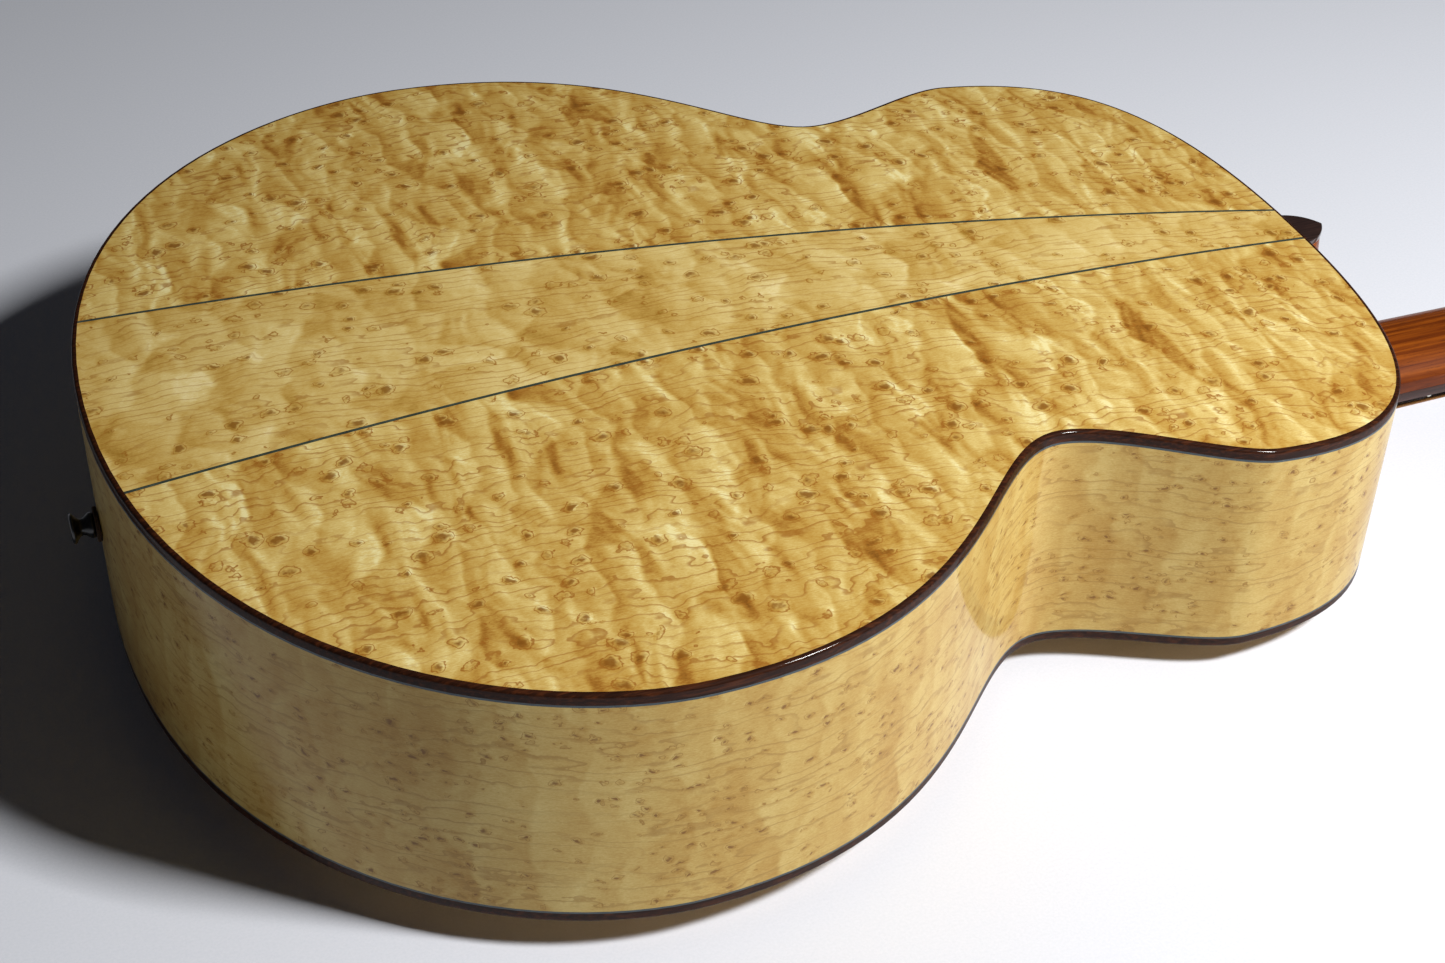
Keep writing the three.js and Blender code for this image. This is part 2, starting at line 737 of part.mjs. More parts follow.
const housingFloor = headThickness + gap;
const housingHeight = 9;
const housingHalfLength = 9;
const housingHalfWidth = 7;
const wormOffset = gearRadius + wormRadius + 0.3;
const gearZ = housingFloor + 4.6;
const gearHalfHeight = 1.6;

// The gear sits on the post, between the post and the worm that runs across it.
function gearAndPost() {
  const points = [];
  for (let i = 0; i < 2 * gearTeeth; i++) {
    const radius = i % 2 ? gearRadius : gearRadius - 0.9;
    const angle = (Math.PI * i) / gearTeeth;
    points.push(new THREE.Vector2(radius * Math.cos(angle), radius * Math.sin(angle)));
  }
  const gear = prism(points, gearZ - gearHalfHeight, gearZ + gearHalfHeight);
  const tip = -headplateThickness - postProud;
  const coil = postRadius + 1.1;
  const coilTop = -headplateThickness - 3;
  const profile = [
    [0, tip],
    [postRadius - 0.6, tip],
    [postRadius, tip + 0.6],
    [postRadius, coilTop - 4.4],
    [coil, coilTop - 3.9],
    [postRadius + 0.3, coilTop - 3.3],
    [coil, coilTop - 2.6],
    [postRadius + 0.3, coilTop - 1.9],
    [coil, coilTop - 1.2],
    [postRadius, coilTop - 0.6],
    [postRadius, gearZ],
    [0, gearZ],
  ].map(([radius, height]) => new THREE.Vector2(radius, height));
  const post = new THREE.LatheGeometry(profile, 14).rotateX(Math.PI / 2);
  return joined(gear, post);
}

// A worm, its shaft and the button on the end of it, along Y from the middle of the worm.
function wormAndButton() {
  const reach = 19;
  const profile = [
    [0, -5],
    [1.6, -5],
    [1.6, -4],
    [wormRadius, -3],
    [1.7, -2],
    [wormRadius, -1],
    [1.7, 0],
    [wormRadius, 1],
    [1.7, 2],
    [wormRadius, 3],
    [1.6, 4],
    [1.6, reach],
    [0, reach],
  ].map(([radius, height]) => new THREE.Vector2(radius, height));
  const shaftAndWorm = new THREE.LatheGeometry(profile, 10);
  const button = new THREE.SphereGeometry(1, 12, 8).scale(4.2, 9, 7.5).translate(0, reach + 6, 0);
  return joined(shaftAndWorm, button);
}

const housingShape = new THREE.Shape();
const corner = 3;
housingShape.moveTo(corner - housingHalfLength, -housingHalfWidth);
housingShape.lineTo(housingHalfLength - corner, -housingHalfWidth);
housingShape.absarc(housingHalfLength - corner, corner - housingHalfWidth, corner, -Math.PI / 2, 0);
housingShape.absarc(housingHalfLength - corner, housingHalfWidth - corner, corner, 0, Math.PI / 2);
housingShape.absarc(corner - housingHalfLength, housingHalfWidth - corner, corner, Math.PI / 2, Math.PI);
housingShape.absarc(corner - housingHalfLength, corner - housingHalfWidth, corner, Math.PI, 1.5 * Math.PI);
const housingOutline = housingShape.getPoints(2);

// The housing is a cap, open towards the wood, over the gear and the worm beside it.
function housing() {
  const shell = prism(housingOutline, housingFloor, housingFloor + housingHeight);
  const gearRoom = uprightCylinder(gearRadius + 0.5, 0, 0, housingFloor - 1, gearZ + gearHalfHeight + 0.5);
  const wormRoom = uprightCylinder(wormRadius + 0.5, 0, 0, -5.6, 5.6, 10)
    .rotateX(Math.PI / 2)
    .translate(wormOffset, 0, gearZ);
  const underWorm = box(wormOffset - 1.9, wormOffset + 1.9, -5.6, 5.6, housingFloor - 1, gearZ);
  const shaftHole = uprightCylinder(2, 0, 0, 0, 12, 10)
    .rotateX(-Math.PI / 2)
    .translate(wormOffset, 0, gearZ);
  return cut(shell, gearRoom, wormRoom, underWorm, shaftHole);
}

tuners.forEach(({ side, x, y }, index) => {
  const machine = new THREE.Group();
  machine.position.set(x, y, 0);
  headGroup.add(machine);
  const number = index + 1;
  const body = addPiece(machine, `tuner_housing_${number}`, housing(), chrome);
  const button = addPiece(machine, `tuner_button_${number}`, wormAndButton(), chrome);
  addPiece(machine, `tuner_post_${number}`, gearAndPost(), chrome);
  button.position.set(side * wormOffset, 0, gearZ);
  if (side < 0) {
    body.rotation.z = Math.PI;
    button.rotation.z = Math.PI;
  }
});

// ---------------------------------------------------------------------------------------------
// Strings
// ---------------------------------------------------------------------------------------------

// A path that bends only at its points, sampled at each of them.
class Route extends THREE.Curve {
  constructor(points) {
    super();
    this.points = points;
  }

  getPoint(amount) {
    const last = this.points.length - 1;
    const place = Math.min(amount, 1) * last;
    const before = Math.min(Math.floor(place), last - 1);
    return this.points[before].clone().lerp(this.points[before + 1], place - before);
  }

  getTangent(amount) {
    const last = this.points.length - 1;
    const place = Math.round(Math.min(amount, 1) * last);
    const here = this.points[place];
    const ahead = this.points[Math.min(place + 1, last)].clone().sub(here).normalize();
    const behind = here.clone().sub(this.points[Math.max(place - 1, 0)]).normalize();
    return ahead.add(behind).normalize();
  }

  getUtoTmapping(amount) {
    return amount;
  }
}

const stringLookFor = (index) => (index < 2 ? plainSteel : bronze);
stringRadii.forEach((radius, index) => {
  const yNut = stringSpread(index, nutSpread);
  const ySaddle = stringSpread(index, saddleSpread);
  const { side, x, y } = tuners[index];
  const inBody = (px, py, pz) => new THREE.Vector3(px, py, pz);
  const inNeck = (px, py, pz) => new THREE.Vector3(px, py, pz).applyMatrix4(neckToBody);
  const inHead = (px, py, pz) => new THREE.Vector3(px, py, pz).applyMatrix4(headToBody);
  const overSaddle = -saddleTop - gap / 2 - 2 * thickest + radius;
  const saddleAt = saddleX + saddleSlant * ySaddle;
  const overNut = nutCrown - gap / 2 - 2 * thickest + radius;
  const beside = y - side * (postRadius + 1.1 + gap + radius);
  const route = new Route([
    inBody(pinX + pinHoleRadius - radius - 0.4, ySaddle, -bridgeThickness + 3),
    inBody(pinX + pinHoleRadius - radius - 0.4, ySaddle, -bridgeThickness - 0.6 - radius),
    inBody(saddleAt - saddleThickness / 2 - 1.2, ySaddle, overSaddle + 0.5),
    inBody(saddleAt - saddleThickness / 2 - 0.3, ySaddle, overSaddle),
    inBody(saddleAt + saddleThickness / 2 + 0.3, ySaddle, overSaddle),
    inNeck(nutFromBody, yNut, overNut),
    inNeck(nutFromBody + nutThickness, yNut, overNut + 0.1),
    inNeck(nutFromBody + nutThickness + 1.5, yNut, overNut + 0.7),
    inHead(x, beside, -headplateThickness - 5.2),
  ]);
  const section = new THREE.Shape(circlePoints(radius, 0, 0, 8));
  const string = new THREE.ExtrudeGeometry(section, {
    steps: route.points.length - 1,
    extrudePath: route,
    bevelEnabled: false,
  });
  addPiece(guitar, `string_${index + 1}`, string, stringLookFor(index));
});

// ---------------------------------------------------------------------------------------------
// Strap button at the tail
// ---------------------------------------------------------------------------------------------

// Turned about its own axis, with its height running away from the body.
const washerThickness = 1.2;
const buttonProfile = [
  [0, -24],
  [1.8, -22],
  [1.8, 0],
  [4.6, 0],
  [5, 0.6],
  [5, 2],
  [3.1, 4],
  [3.1, 5.6],
  [5.4, 7],
  [strapFlangeRadius, 7.8],
  [5.4, strapButtonLength],
  [0, strapButtonLength],
].map(([radius, height]) => new THREE.Vector2(radius, height));
const buttonShape = new THREE.LatheGeometry(buttonProfile, 20);
const strapButton = addPiece(guitar, 'strap_button', buttonShape, blackPlastic);
strapButton.rotation.z = Math.PI / 2;
strapButton.position.set(-2 * gap - washerThickness, 0, strapButtonZ);

const washerProfile = [
  [2.2, 0],
  [6.8, 0],
  [6.8, washerThickness],
  [2.2, washerThickness],
  [2.2, 0],
].map(([radius, height]) => new THREE.Vector2(radius, height));
const washerShape = new THREE.LatheGeometry(washerProfile, 20);
const washer = addPiece(guitar, 'strap_button_washer', washerShape, brownFelt);
washer.rotation.z = Math.PI / 2;
washer.position.set(-gap, 0, strapButtonZ);

// ---------------------------------------------------------------------------------------------
// Lay the guitar down: the middle of its length and width over the origin, its lowest string on z = 0
// ---------------------------------------------------------------------------------------------

guitar.updateMatrixWorld(true);
const extent = new THREE.Box3().setFromObject(guitar, true);
const middle = extent.getCenter(new THREE.Vector3());
guitar.position.set(-middle.x, -middle.y, -extent.min.z);

const part = new THREE.Group();
part.add(guitar);

export default part;
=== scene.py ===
import json
import math

import bpy
import numpy as np
from mathutils import Matrix, Vector


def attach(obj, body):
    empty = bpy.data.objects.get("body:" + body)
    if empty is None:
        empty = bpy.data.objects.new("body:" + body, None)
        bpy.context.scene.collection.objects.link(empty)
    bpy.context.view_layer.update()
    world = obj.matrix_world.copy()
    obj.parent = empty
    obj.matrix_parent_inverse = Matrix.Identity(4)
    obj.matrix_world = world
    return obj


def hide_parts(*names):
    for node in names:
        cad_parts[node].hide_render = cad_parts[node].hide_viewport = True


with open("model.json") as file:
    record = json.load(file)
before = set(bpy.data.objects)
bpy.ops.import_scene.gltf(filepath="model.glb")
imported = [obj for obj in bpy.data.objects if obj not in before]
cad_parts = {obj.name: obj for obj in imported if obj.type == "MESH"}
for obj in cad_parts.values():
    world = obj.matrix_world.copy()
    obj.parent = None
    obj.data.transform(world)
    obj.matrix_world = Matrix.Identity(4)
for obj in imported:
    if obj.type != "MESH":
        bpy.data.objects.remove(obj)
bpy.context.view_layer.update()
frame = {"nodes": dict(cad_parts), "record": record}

# ---------------------------------------------------------------------------------------------
# Back: two wings and a wedge between them
# Three plates of birdseye maple, 2.8 mm thick, bookmatched wings on each side of a wedge that is
# wide at the tail. They are glued edge to edge, arched both ways, and lacquered to a high gloss.
# ---------------------------------------------------------------------------------------------

# The guitar lies tilted a little on its strings. Pieces of the body are modelled with the
# soundboard's face on z = 0 and the tail on x = 0, then laid on the floor by this matrix.
mounts = {mount["name"]: mount for mount in frame["record"]["mounts"]}
up_through_back = Vector(mounts["heel_cap"]["axis"])
TILT = math.atan2(up_through_back.x, up_through_back.z)
STRAP_BUTTON_TIP = Vector((-0.0108, 0, 0.054))
turned = Matrix.Rotation(TILT, 4, "Y")
lying = Matrix.Translation(Vector(mounts["strap_button"]["pos_m"]) - turned @ STRAP_BUTTON_TIP) @ turned

BODY_LENGTH = 0.508
DEPTH_AT_TAIL = 0.1075
DEPTH_AT_HEEL = 0.087
LENGTHWISE_ARCH = 0.0107
CROSSWISE_ARCH_RADIUS = 2.96
LOWER_BOUT_HALF_WIDTH = 0.209
# Along the body: place, half width, and how far the curve runs straight before and after.
OUTLINE = [
    (0.168, LOWER_BOUT_HALF_WIDTH, 0.065, 0.108),
    (0.334, 0.122, 0.034, 0.023),
    (0.4115, 0.1495, 0.020, 0.069),
]
TAIL_ROUNDNESS = 0.148
HEEL_ROUNDNESS = 0.110
BINDING_WIDTH = 0.0020
PLATE_THICKNESS = 0.0028
STRIP_WIDTH = 0.0014
WEDGE_AT_TAIL = 0.0567
WEDGE_AT_HEEL = 0.0119
BACK_CELL = 0.009
ALONG = (1, 0, 0)
ACROSS = (0, 1, 0)


def only_nothing():
    """Leaves object mode on and nothing selected, ready to add a piece."""
    if bpy.context.object and bpy.context.object.mode != "OBJECT":
        bpy.ops.object.mode_set(mode="OBJECT")
    bpy.ops.object.select_all(action="DESELECT")


def only(piece):
    """Leaves just this piece selected and active, in object mode."""
    only_nothing()
    piece.select_set(True)
    bpy.context.view_layer.objects.active = piece
    return piece


def whole(piece):
    """Opens edit mode with all of a piece selected."""
    only(piece)
    bpy.ops.object.mode_set(mode="EDIT")
    bpy.ops.mesh.select_all(action="SELECT")


def pick(piece, wanted, kind="polygons"):
    """Selects the faces, edges or vertices that wanted says, and opens edit mode."""
    only(piece)
    bpy.ops.object.mode_set(mode="EDIT")
    bpy.ops.mesh.select_mode(type={"polygons": "FACE", "edges": "EDGE", "vertices": "VERT"}[kind])
    bpy.ops.mesh.select_all(action="DESELECT")
    bpy.ops.object.mode_set(mode="OBJECT")
    for element in getattr(piece.data, kind):
        element.select = bool(wanted(element))
    bpy.ops.object.mode_set(mode="EDIT")


def back_height(x, y):
    """The height of the back's outer face, which leans to the heel and is arched both ways."""
    along = x / BODY_LENGTH
    lean = DEPTH_AT_TAIL + (DEPTH_AT_HEEL - DEPTH_AT_TAIL) * along
    return lean + 4 * LENGTHWISE_ARCH * along * (1 - along) - y * y / (2 * CROSSWISE_ARCH_RADIUS)


def body_outline(name, smoothness=30):
    """The outline of the body as one flat face on z = 0."""
    only_nothing()
    bpy.ops.curve.primitive_bezier_circle_add()
    curve = bpy.context.object
    spline = curve.data.splines[0]
    spline.bezier_points.add(4)
    spline.resolution_u = smoothness
    heel = BODY_LENGTH
    knots = [((0, 0), (0, -TAIL_ROUNDNESS), (0, TAIL_ROUNDNESS))]
    knots += [((x, w), (x - before, w), (x + after, w)) for x, w, before, after in OUTLINE]
    knots += [((heel, 0), (heel, HEEL_ROUNDNESS), (heel, -HEEL_ROUNDNESS))]
    knots += [((x, -w), (x + after, -w), (x - before, -w)) for x, w, before, after in reversed(OUTLINE)]
    for point, (place, before, after) in zip(spline.bezier_points, knots):
        point.handle_left_type = point.handle_right_type = "FREE"
        point.co = (*place, 0)
        point.handle_left = (*before, 0)
        point.handle_right = (*after, 0)
    bpy.ops.object.convert(target="MESH")
    piece = bpy.context.object
    piece.name = name
    whole(piece)
    bpy.ops.mesh.remove_doubles(threshold=0.00001)
    bpy.ops.mesh.edge_face_add()
    bpy.ops.object.mode_set(mode="OBJECT")
    return piece


def raised(piece, floor, ceiling):
    """Gives the flat faces of a piece height: floor and ceiling are heights by place."""
    whole(piece)
    bpy.ops.mesh.extrude_region_move(TRANSFORM_OT_translate={"value": (0, 0, 1)})
    bpy.ops.object.mode_set(mode="OBJECT")
    for vertex in piece.data.vertices:
        x, y, z = vertex.co
        vertex.co.z = ceiling(x, y) if z > 0.5 else floor(x, y)
    whole(piece)
    bpy.ops.mesh.normals_make_consistent(inside=False)
    bpy.ops.object.mode_set(mode="OBJECT")


def sliced(piece, direction, first, last, count):
    """Splits a piece into count slices of one thickness, so that it can follow an arch."""
    only(piece)
    bpy.ops.object.mode_set(mode="EDIT")
    for i in range(1, count):
        place = first + (last - first) * i / count
        bpy.ops.mesh.select_all(action="SELECT")
        bpy.ops.mesh.bisect(plane_co=[place * c for c in direction], plane_no=direction)
    bpy.ops.object.mode_set(mode="OBJECT")


def trimmed(piece, tail_y, heel_y, keep):
    """Cuts a flat face along a line from tail to heel. Keeps the side that keep points to."""
    whole(piece)
    line = Vector((BODY_LENGTH, heel_y - tail_y, 0))
    bpy.ops.mesh.bisect(
        plane_co=(0, tail_y, 0),
        plane_no=(-line.y, line.x, 0),
        clear_inner=keep > 0,
        clear_outer=keep < 0,
    )
    bpy.ops.object.mode_set(mode="OBJECT")


def laid(piece, body, slot, *nodes, angle=30):
    only(piece)
    bpy.ops.object.shade_smooth_by_angle(angle=math.radians(angle))
    piece.data.transform(lying)
    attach(piece, body)
    if nodes:
        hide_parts(*nodes)
    return piece


def inset_plate(name):
    """The part of the outline inside the binding."""
    piece = body_outline(name)
    pick(piece, lambda face: True)
    bpy.ops.mesh.inset(thickness=BINDING_WIDTH, use_even_offset=True)
    bpy.ops.mesh.select_all(action="INVERT")
    bpy.ops.mesh.delete(type="FACE")
    bpy.ops.object.mode_set(mode="OBJECT")
    return piece


def back_plate(name, low, high, slot, node):
    """A plate of the back between two lines, each given by its y at the tail and at the heel."""
    piece = inset_plate(name)
    if low:
        trimmed(piece, *low, keep=1)
    if high:
        trimmed(piece, *high, keep=-1)
    sliced(piece, ALONG, 0, BODY_LENGTH, round(BODY_LENGTH / BACK_CELL))
    edge = LOWER_BOUT_HALF_WIDTH
    sliced(piece, ACROSS, -edge, edge, round(2 * edge / BACK_CELL))
    raised(piece, lambda x, y: back_height(x, y) - PLATE_THICKNESS, back_height)
    return laid(piece, "body_and_neck", slot, node)


HALF_STRIP = STRIP_WIDTH / 2
bass_wing = back_plate(
    "BassWing",
    None,
    (-WEDGE_AT_TAIL - HALF_STRIP, -WEDGE_AT_HEEL - HALF_STRIP),
    "maple_back",
    "back_bass_wing",
)
treble_wing = back_plate(
    "TrebleWing",
    (WEDGE_AT_TAIL + HALF_STRIP, WEDGE_AT_HEEL + HALF_STRIP),
    None,
    "maple_back",
    "back_treble_wing",
)
centre_wedge = back_plate(
    "CentreWedge",
    (HALF_STRIP - WEDGE_AT_TAIL, HALF_STRIP - WEDGE_AT_HEEL),
    (WEDGE_AT_TAIL - HALF_STRIP, WEDGE_AT_HEEL - HALF_STRIP),
    "maple_wedge",
    "back_centre_wedge",
)


def paint(code):
    """A colour in the scene's own light from a hexadecimal code."""
    parts = [int(code[i : i + 2], 16) / 255 for i in (1, 3, 5)]
    return (*[c / 12.92 if c <= 0.04045 else ((c + 0.055) / 1.055) ** 2.4 for c in parts], 1)


def put(tree, kind, inputs=None, **settings):
    """Adds a node. An input is a number, or a socket to link to it."""
    node = tree.nodes.new(kind)
    for key, value in settings.items():
        setattr(node, key, value)
    for key, value in (inputs or {}).items():
        if isinstance(value, bpy.types.NodeSocket):
            tree.links.new(value, node.inputs[key])
        else:
            node.inputs[key].default_value = value
    return node


def calc(tree, operation, *values, clamp=False):
    node = put(tree, "ShaderNodeMath", dict(enumerate(values)), operation=operation, use_clamp=clamp)
    return node.outputs[0]


def vector_calc(tree, operation, *values):
    return put(tree, "ShaderNodeVectorMath", dict(enumerate(values)), operation=operation).outputs[0]


def noise(tree, place, scale, detail=2.0, rough=0.5, bend=0.0, out="Fac"):
    inputs = {"Vector": place, "Scale": scale, "Detail": detail, "Roughness": rough, "Distortion": bend}
    return put(tree, "ShaderNodeTexNoise", inputs).outputs[out]


def stretched(tree, place, size):
    """Place divided by a size in metres for each axis, so that one unit is one feature."""
    return vector_calc(tree, "DIVIDE", place, size)


def ramp(tree, amount, *stops):
    node = put(tree, "ShaderNodeValToRGB", {"Fac": amount})
    elements = node.color_ramp.elements
    while len(elements) < len(stops):
        elements.new(0.5)
    for element, (position, code) in zip(elements, stops):
        element.position = position
        element.color = paint(code)
    return node.outputs["Color"]


def fade(tree, value, start, end, low=0.0, high=1.0):
    inputs = {"Value": value, "From Min": start, "From Max": end, "To Min": low, "To Max": high}
    return put(tree, "ShaderNodeMapRange", inputs, interpolation_type="SMOOTHSTEP").outputs["Result"]


def mixed(tree, amount, a, b):
    return put(tree, "ShaderNodeMix", {0: amount, 6: a, 7: b}, data_type="RGBA").outputs[2]


def shaken(tree, place, scale, detail, rough, reach):
    """Place moved about by a noise, by up to half of reach in metres."""
    way = vector_calc(tree, "SUBTRACT", noise(tree, place, scale, detail, rough, out="Color"), (0.5,) * 3)
    way = put(tree, "ShaderNodeVectorMath", {0: way, "Scale": reach}, operation="SCALE")
    return vector_calc(tree, "ADD", place, way.outputs[0])


def bumped(tree, shader, height, strength, distance, invert=False):
    inputs = {"Height": height, "Strength": strength, "Distance": distance}
    bump = put(tree, "ShaderNodeBump", inputs, invert=invert)
    tree.links.new(bump.outputs["Normal"], shader.inputs["Normal"])


def object_place(tree):
    return put(tree, "ShaderNodeTexCoord").outputs["Object"]


def new_finish(name, **sockets):
    """A material with one Principled shader whose own sockets are set."""
    finish = bpy.data.materials.new(name)
    finish.use_nodes = True
    tree = finish.node_tree
    shader = tree.nodes["Principled BSDF"]
    for key, value in sockets.items():
        shader.inputs[key.replace("_", " ")].default_value = value
    return finish, tree, shader


def dressed(finish, *pieces):
    for piece in pieces:
        piece.data.materials.clear()
        piece.data.materials.append(finish)


def grained(name, size, rough, *stops, bump=None, **sockets):
    """A material coloured by one noise. Size is that of a fleck in metres, along each axis."""
    finish, tree, shader = new_finish(name, **sockets)
    grain = noise(tree, stretched(tree, object_place(tree), size), 1.0, 3, rough)
    tree.links.new(ramp(tree, grain, *stops), shader.inputs["Base Color"])
    if bump:
        bumped(tree, shader, grain, *bump)
    return finish


def relief_group(name, blister, depth, eye, eye_depth, eye_share, cluster):
    """How far the grown surface of the wood dips at a place: broad blisters, and a small pit under
    each eye. Sizes are in metres, depths in growth rings. Returns a node group."""
    tree = bpy.data.node_groups.new(name, "ShaderNodeTree")
    tree.interface.new_socket("Place", in_out="INPUT", socket_type="NodeSocketVector")
    for output in ("Swell", "Pit", "Eye", "Shadow"):
        tree.interface.new_socket(output, in_out="OUTPUT", socket_type="NodeSocketFloat")
    start = tree.nodes.new("NodeGroupInput")
    end = tree.nodes.new("NodeGroupOutput")
    place = start.outputs["Place"]
    swell = noise(tree, stretched(tree, place, blister), 1.0, 2.5, 0.5, 0.7)
    tree.links.new(calc(tree, "MULTIPLY", swell, depth), end.inputs["Swell"])
    moved = shaken(tree, place, 230, 2, 0.6, 0.0052)
    cells = put(tree, "ShaderNodeTexVoronoi", {"Vector": stretched(tree, moved, eye), "Scale": 1.0})
    pick_cell = put(tree, "ShaderNodeSeparateColor", {"Color": cells.outputs["Color"]})
    here = noise(tree, place, cluster, 2, 0.6)
    present = calc(tree, "ADD", pick_cell.outputs["Red"], calc(tree, "MULTIPLY", here, 2.6))
    present = fade(tree, present, 2.4 - eye_share, 2.46 - eye_share)
    size = calc(tree, "MULTIPLY_ADD", pick_cell.outputs["Green"], 0.24, 0.2)
    near = fade(tree, cells.outputs["Distance"], 0.15, 0.75, 1.0, 0.0)
    tree.links.new(calc(tree, "MULTIPLY", near, present), end.inputs["Shadow"])
    pit = calc(tree, "SUBTRACT", 1.0, calc(tree, "DIVIDE", cells.outputs["Distance"], size), clamp=True)
    pit = calc(tree, "MULTIPLY", pit, present)
    tree.links.new(pit, end.inputs["Eye"])
    tree.links.new(calc(tree, "MULTIPLY", pit, eye_depth), end.inputs["Pit"])
    return tree


def maple_finish(
    name,
    group,
    place_from,
    shift,
    ring,
    drift,
    gain,
    patch,
    flash_gain,
    tones,
    line_tone,
    line_share,
    eye_tone,
):
    """Birdseye maple under lacquer. The ring lines are contours of the relief: ring is their spacing
    and drift how far they wander. Light and dark patches follow its slope along the grain. They are a
    painted sheen that stands in for the shine of fibres that rise to the surface or dive: gain and
    flash_gain say by how much. The eyes' pits are painted lighter on one side and darker on the other."""
    finish, tree, shader = new_finish(
        name,
        Roughness=0.5,
        Specular_IOR_Level=0.12,
        Coat_Weight=0.5,
        Coat_Roughness=0.04,
        Coat_IOR=1.4,
    )
    moved = vector_calc(tree, "ADD", place_from(tree), shift)

    def relief(step):
        there = vector_calc(tree, "ADD", moved, (step, step * 0.35, 0))
        node = put(tree, "ShaderNodeGroup", node_tree=group)
        tree.links.new(there, node.inputs["Place"])
        return node.outputs

    def grain(size, *shape):
        return noise(tree, stretched(tree, moved, size), 1.0, *shape)

    def plus(value, other, share=1.0, centre=0.0):
        """Value with a share of other, which counts from its centre."""
        return calc(tree, "ADD", value, calc(tree, "MULTIPLY_ADD", other, share, -share * centre))

    step = 0.0012
    middle, ahead, behind = relief(0), relief(step), relief(-step)
    # The blisters' slope along the grain paints the light and dark of the fibres' sheen into the colour.
    slope = calc(tree, "SUBTRACT", ahead["Swell"], behind["Swell"])
    # Painted light and shade on the eyes: the pits' slope along the grain makes each eye lighter on one
    # side and darker on the other.
    pit_light_and_shade = calc(tree, "SUBTRACT", behind["Pit"], ahead["Pit"])

    split = put(tree, "ShaderNodeSeparateXYZ", {"Vector": moved})
    across = plus(split.outputs["Y"], noise(tree, moved, 9, 2.5, 0.55), drift)
    across = plus(across, grain((0.2, 0.011, 0.011), 2, 0.6), ring * 4)
    rings = plus(middle["Swell"], calc(tree, "DIVIDE", across, ring))
    rings = plus(rings, noise(tree, moved, 160, 3, 0.6), 0.5)
    phase = calc(tree, "FRACT", calc(tree, "SUBTRACT", rings, middle["Pit"]))
    late, line_at = 0.7, 0.955
    ring_line = calc(
        tree, "MULTIPLY", fade(tree, phase, late, line_at), fade(tree, phase, line_at, 1.0, 1.0, 0.0)
    )
    strength = fade(tree, grain((0.06, 0.02, 0.03), 2, 0.5), 0.3, 0.6, 0.25, 1.0)
    ring_line = calc(tree, "MULTIPLY", calc(tree, "MULTIPLY", ring_line, strength), line_share)

    # Patches of painted sheen: each cell is lighter on one side and darker on the other.
    patch_place = stretched(tree, shaken(tree, moved, 34, 2.5, 0.5, 0.026), patch)
    patch_inputs = {"Vector": patch_place, "Scale": 1.0, "Smoothness": 0.3}
    cells = put(tree, "ShaderNodeTexVoronoi", patch_inputs, feature="SMOOTH_F1").outputs
    away = vector_calc(tree, "SUBTRACT", patch_place, cells["Position"])
    away = put(tree, "ShaderNodeSeparateXYZ", {"Vector": away}).outputs["X"]
    own = put(tree, "ShaderNodeSeparateColor", {"Color": cells["Color"]}).outputs["Red"]
    flash = plus(calc(tree, "MULTIPLY", away, 0.55), own, 0.5, centre=0.5)

    fibre = grain((0.0032, 0.00042, 0.004), 3, 0.6, 0.4)
    # Painted sheen from the slope and the patches, on top of the wood's own tone and fibres.
    shade = calc(tree, "MULTIPLY_ADD", slope, gain, 0.62)
    shade = plus(shade, flash, flash_gain)
    shade = plus(shade, grain((0.07, 0.05, 0.05), 3, 0.55, 0.3), 0.5, centre=0.5)
    shade = plus(shade, fibre, 0.36, centre=0.5)
    shade = plus(shade, grain((0.0012, 0.0005, 0.002), 2, 0.7), 0.4, centre=0.5)
    # Painted light and shade on the eyes' pits.
    shade = plus(shade, pit_light_and_shade, 0.12)
    shade = plus(shade, middle["Shadow"], -0.09)
    colour = ramp(tree, shade, *tones)
    colour = mixed(tree, ring_line, colour, paint(line_tone))
    eye = middle["Eye"]
    rim = calc(tree, "MULTIPLY", fade(tree, eye, 0.02, 0.1), fade(tree, eye, 0.1, 0.24, 1.0, 0.0))
    colour = mixed(tree, calc(tree, "MULTIPLY", rim, 0.85), colour, paint(line_tone))
    colour = mixed(tree, fade(tree, eye, 0.28, 0.7, 0.0, 0.85), colour, paint(eye_tone))
    tree.links.new(colour, shader.inputs["Base Color"])
    bumped(tree, shader, plus(middle["Swell"], fibre, 0.15), 0.06, 0.001)
    tree.links.new(calc(tree, "MULTIPLY_ADD", fibre, 0.2, 0.4), shader.inputs["Roughness"])
    return finish


def mirrored_place(tree):
    """The treble wing is the bass wing turned over like the page of a book."""
    node = put(tree, "ShaderNodeMapping", {"Vector": object_place(tree), "Scale": (1, -1, 1)})
    return node.outputs["Vector"]


GOLD_TONES = [
    (0.0, "#784b15"),
    (0.22, "#9b6925"),
    (0.42, "#b68d40"),
    (0.62, "#c4a358"),
    (0.85, "#d7be77"),
    (1.0, "#e6d89c"),
]
back_relief = relief_group(
    "BackRelief",
    blister=(0.017, 0.036, 0.03),
    depth=3.2,
    eye=(0.0105, 0.0085, 0.01),
    eye_depth=2.6,
    eye_share=0.80,
    cluster=26,
)


def wing_maple(name, place_from):
    return maple_finish(
        name,
        back_relief,
        place_from,
        shift=(0.9, 0.3, 0.0),
        ring=0.0052,
        drift=0.06,
        gain=0.5,
        patch=(0.014, 0.032, 0.03),
        flash_gain=0.6,
        tones=GOLD_TONES,
        line_tone="#955c1c",
        line_share=0.7,
        eye_tone="#7e4d14",
    )


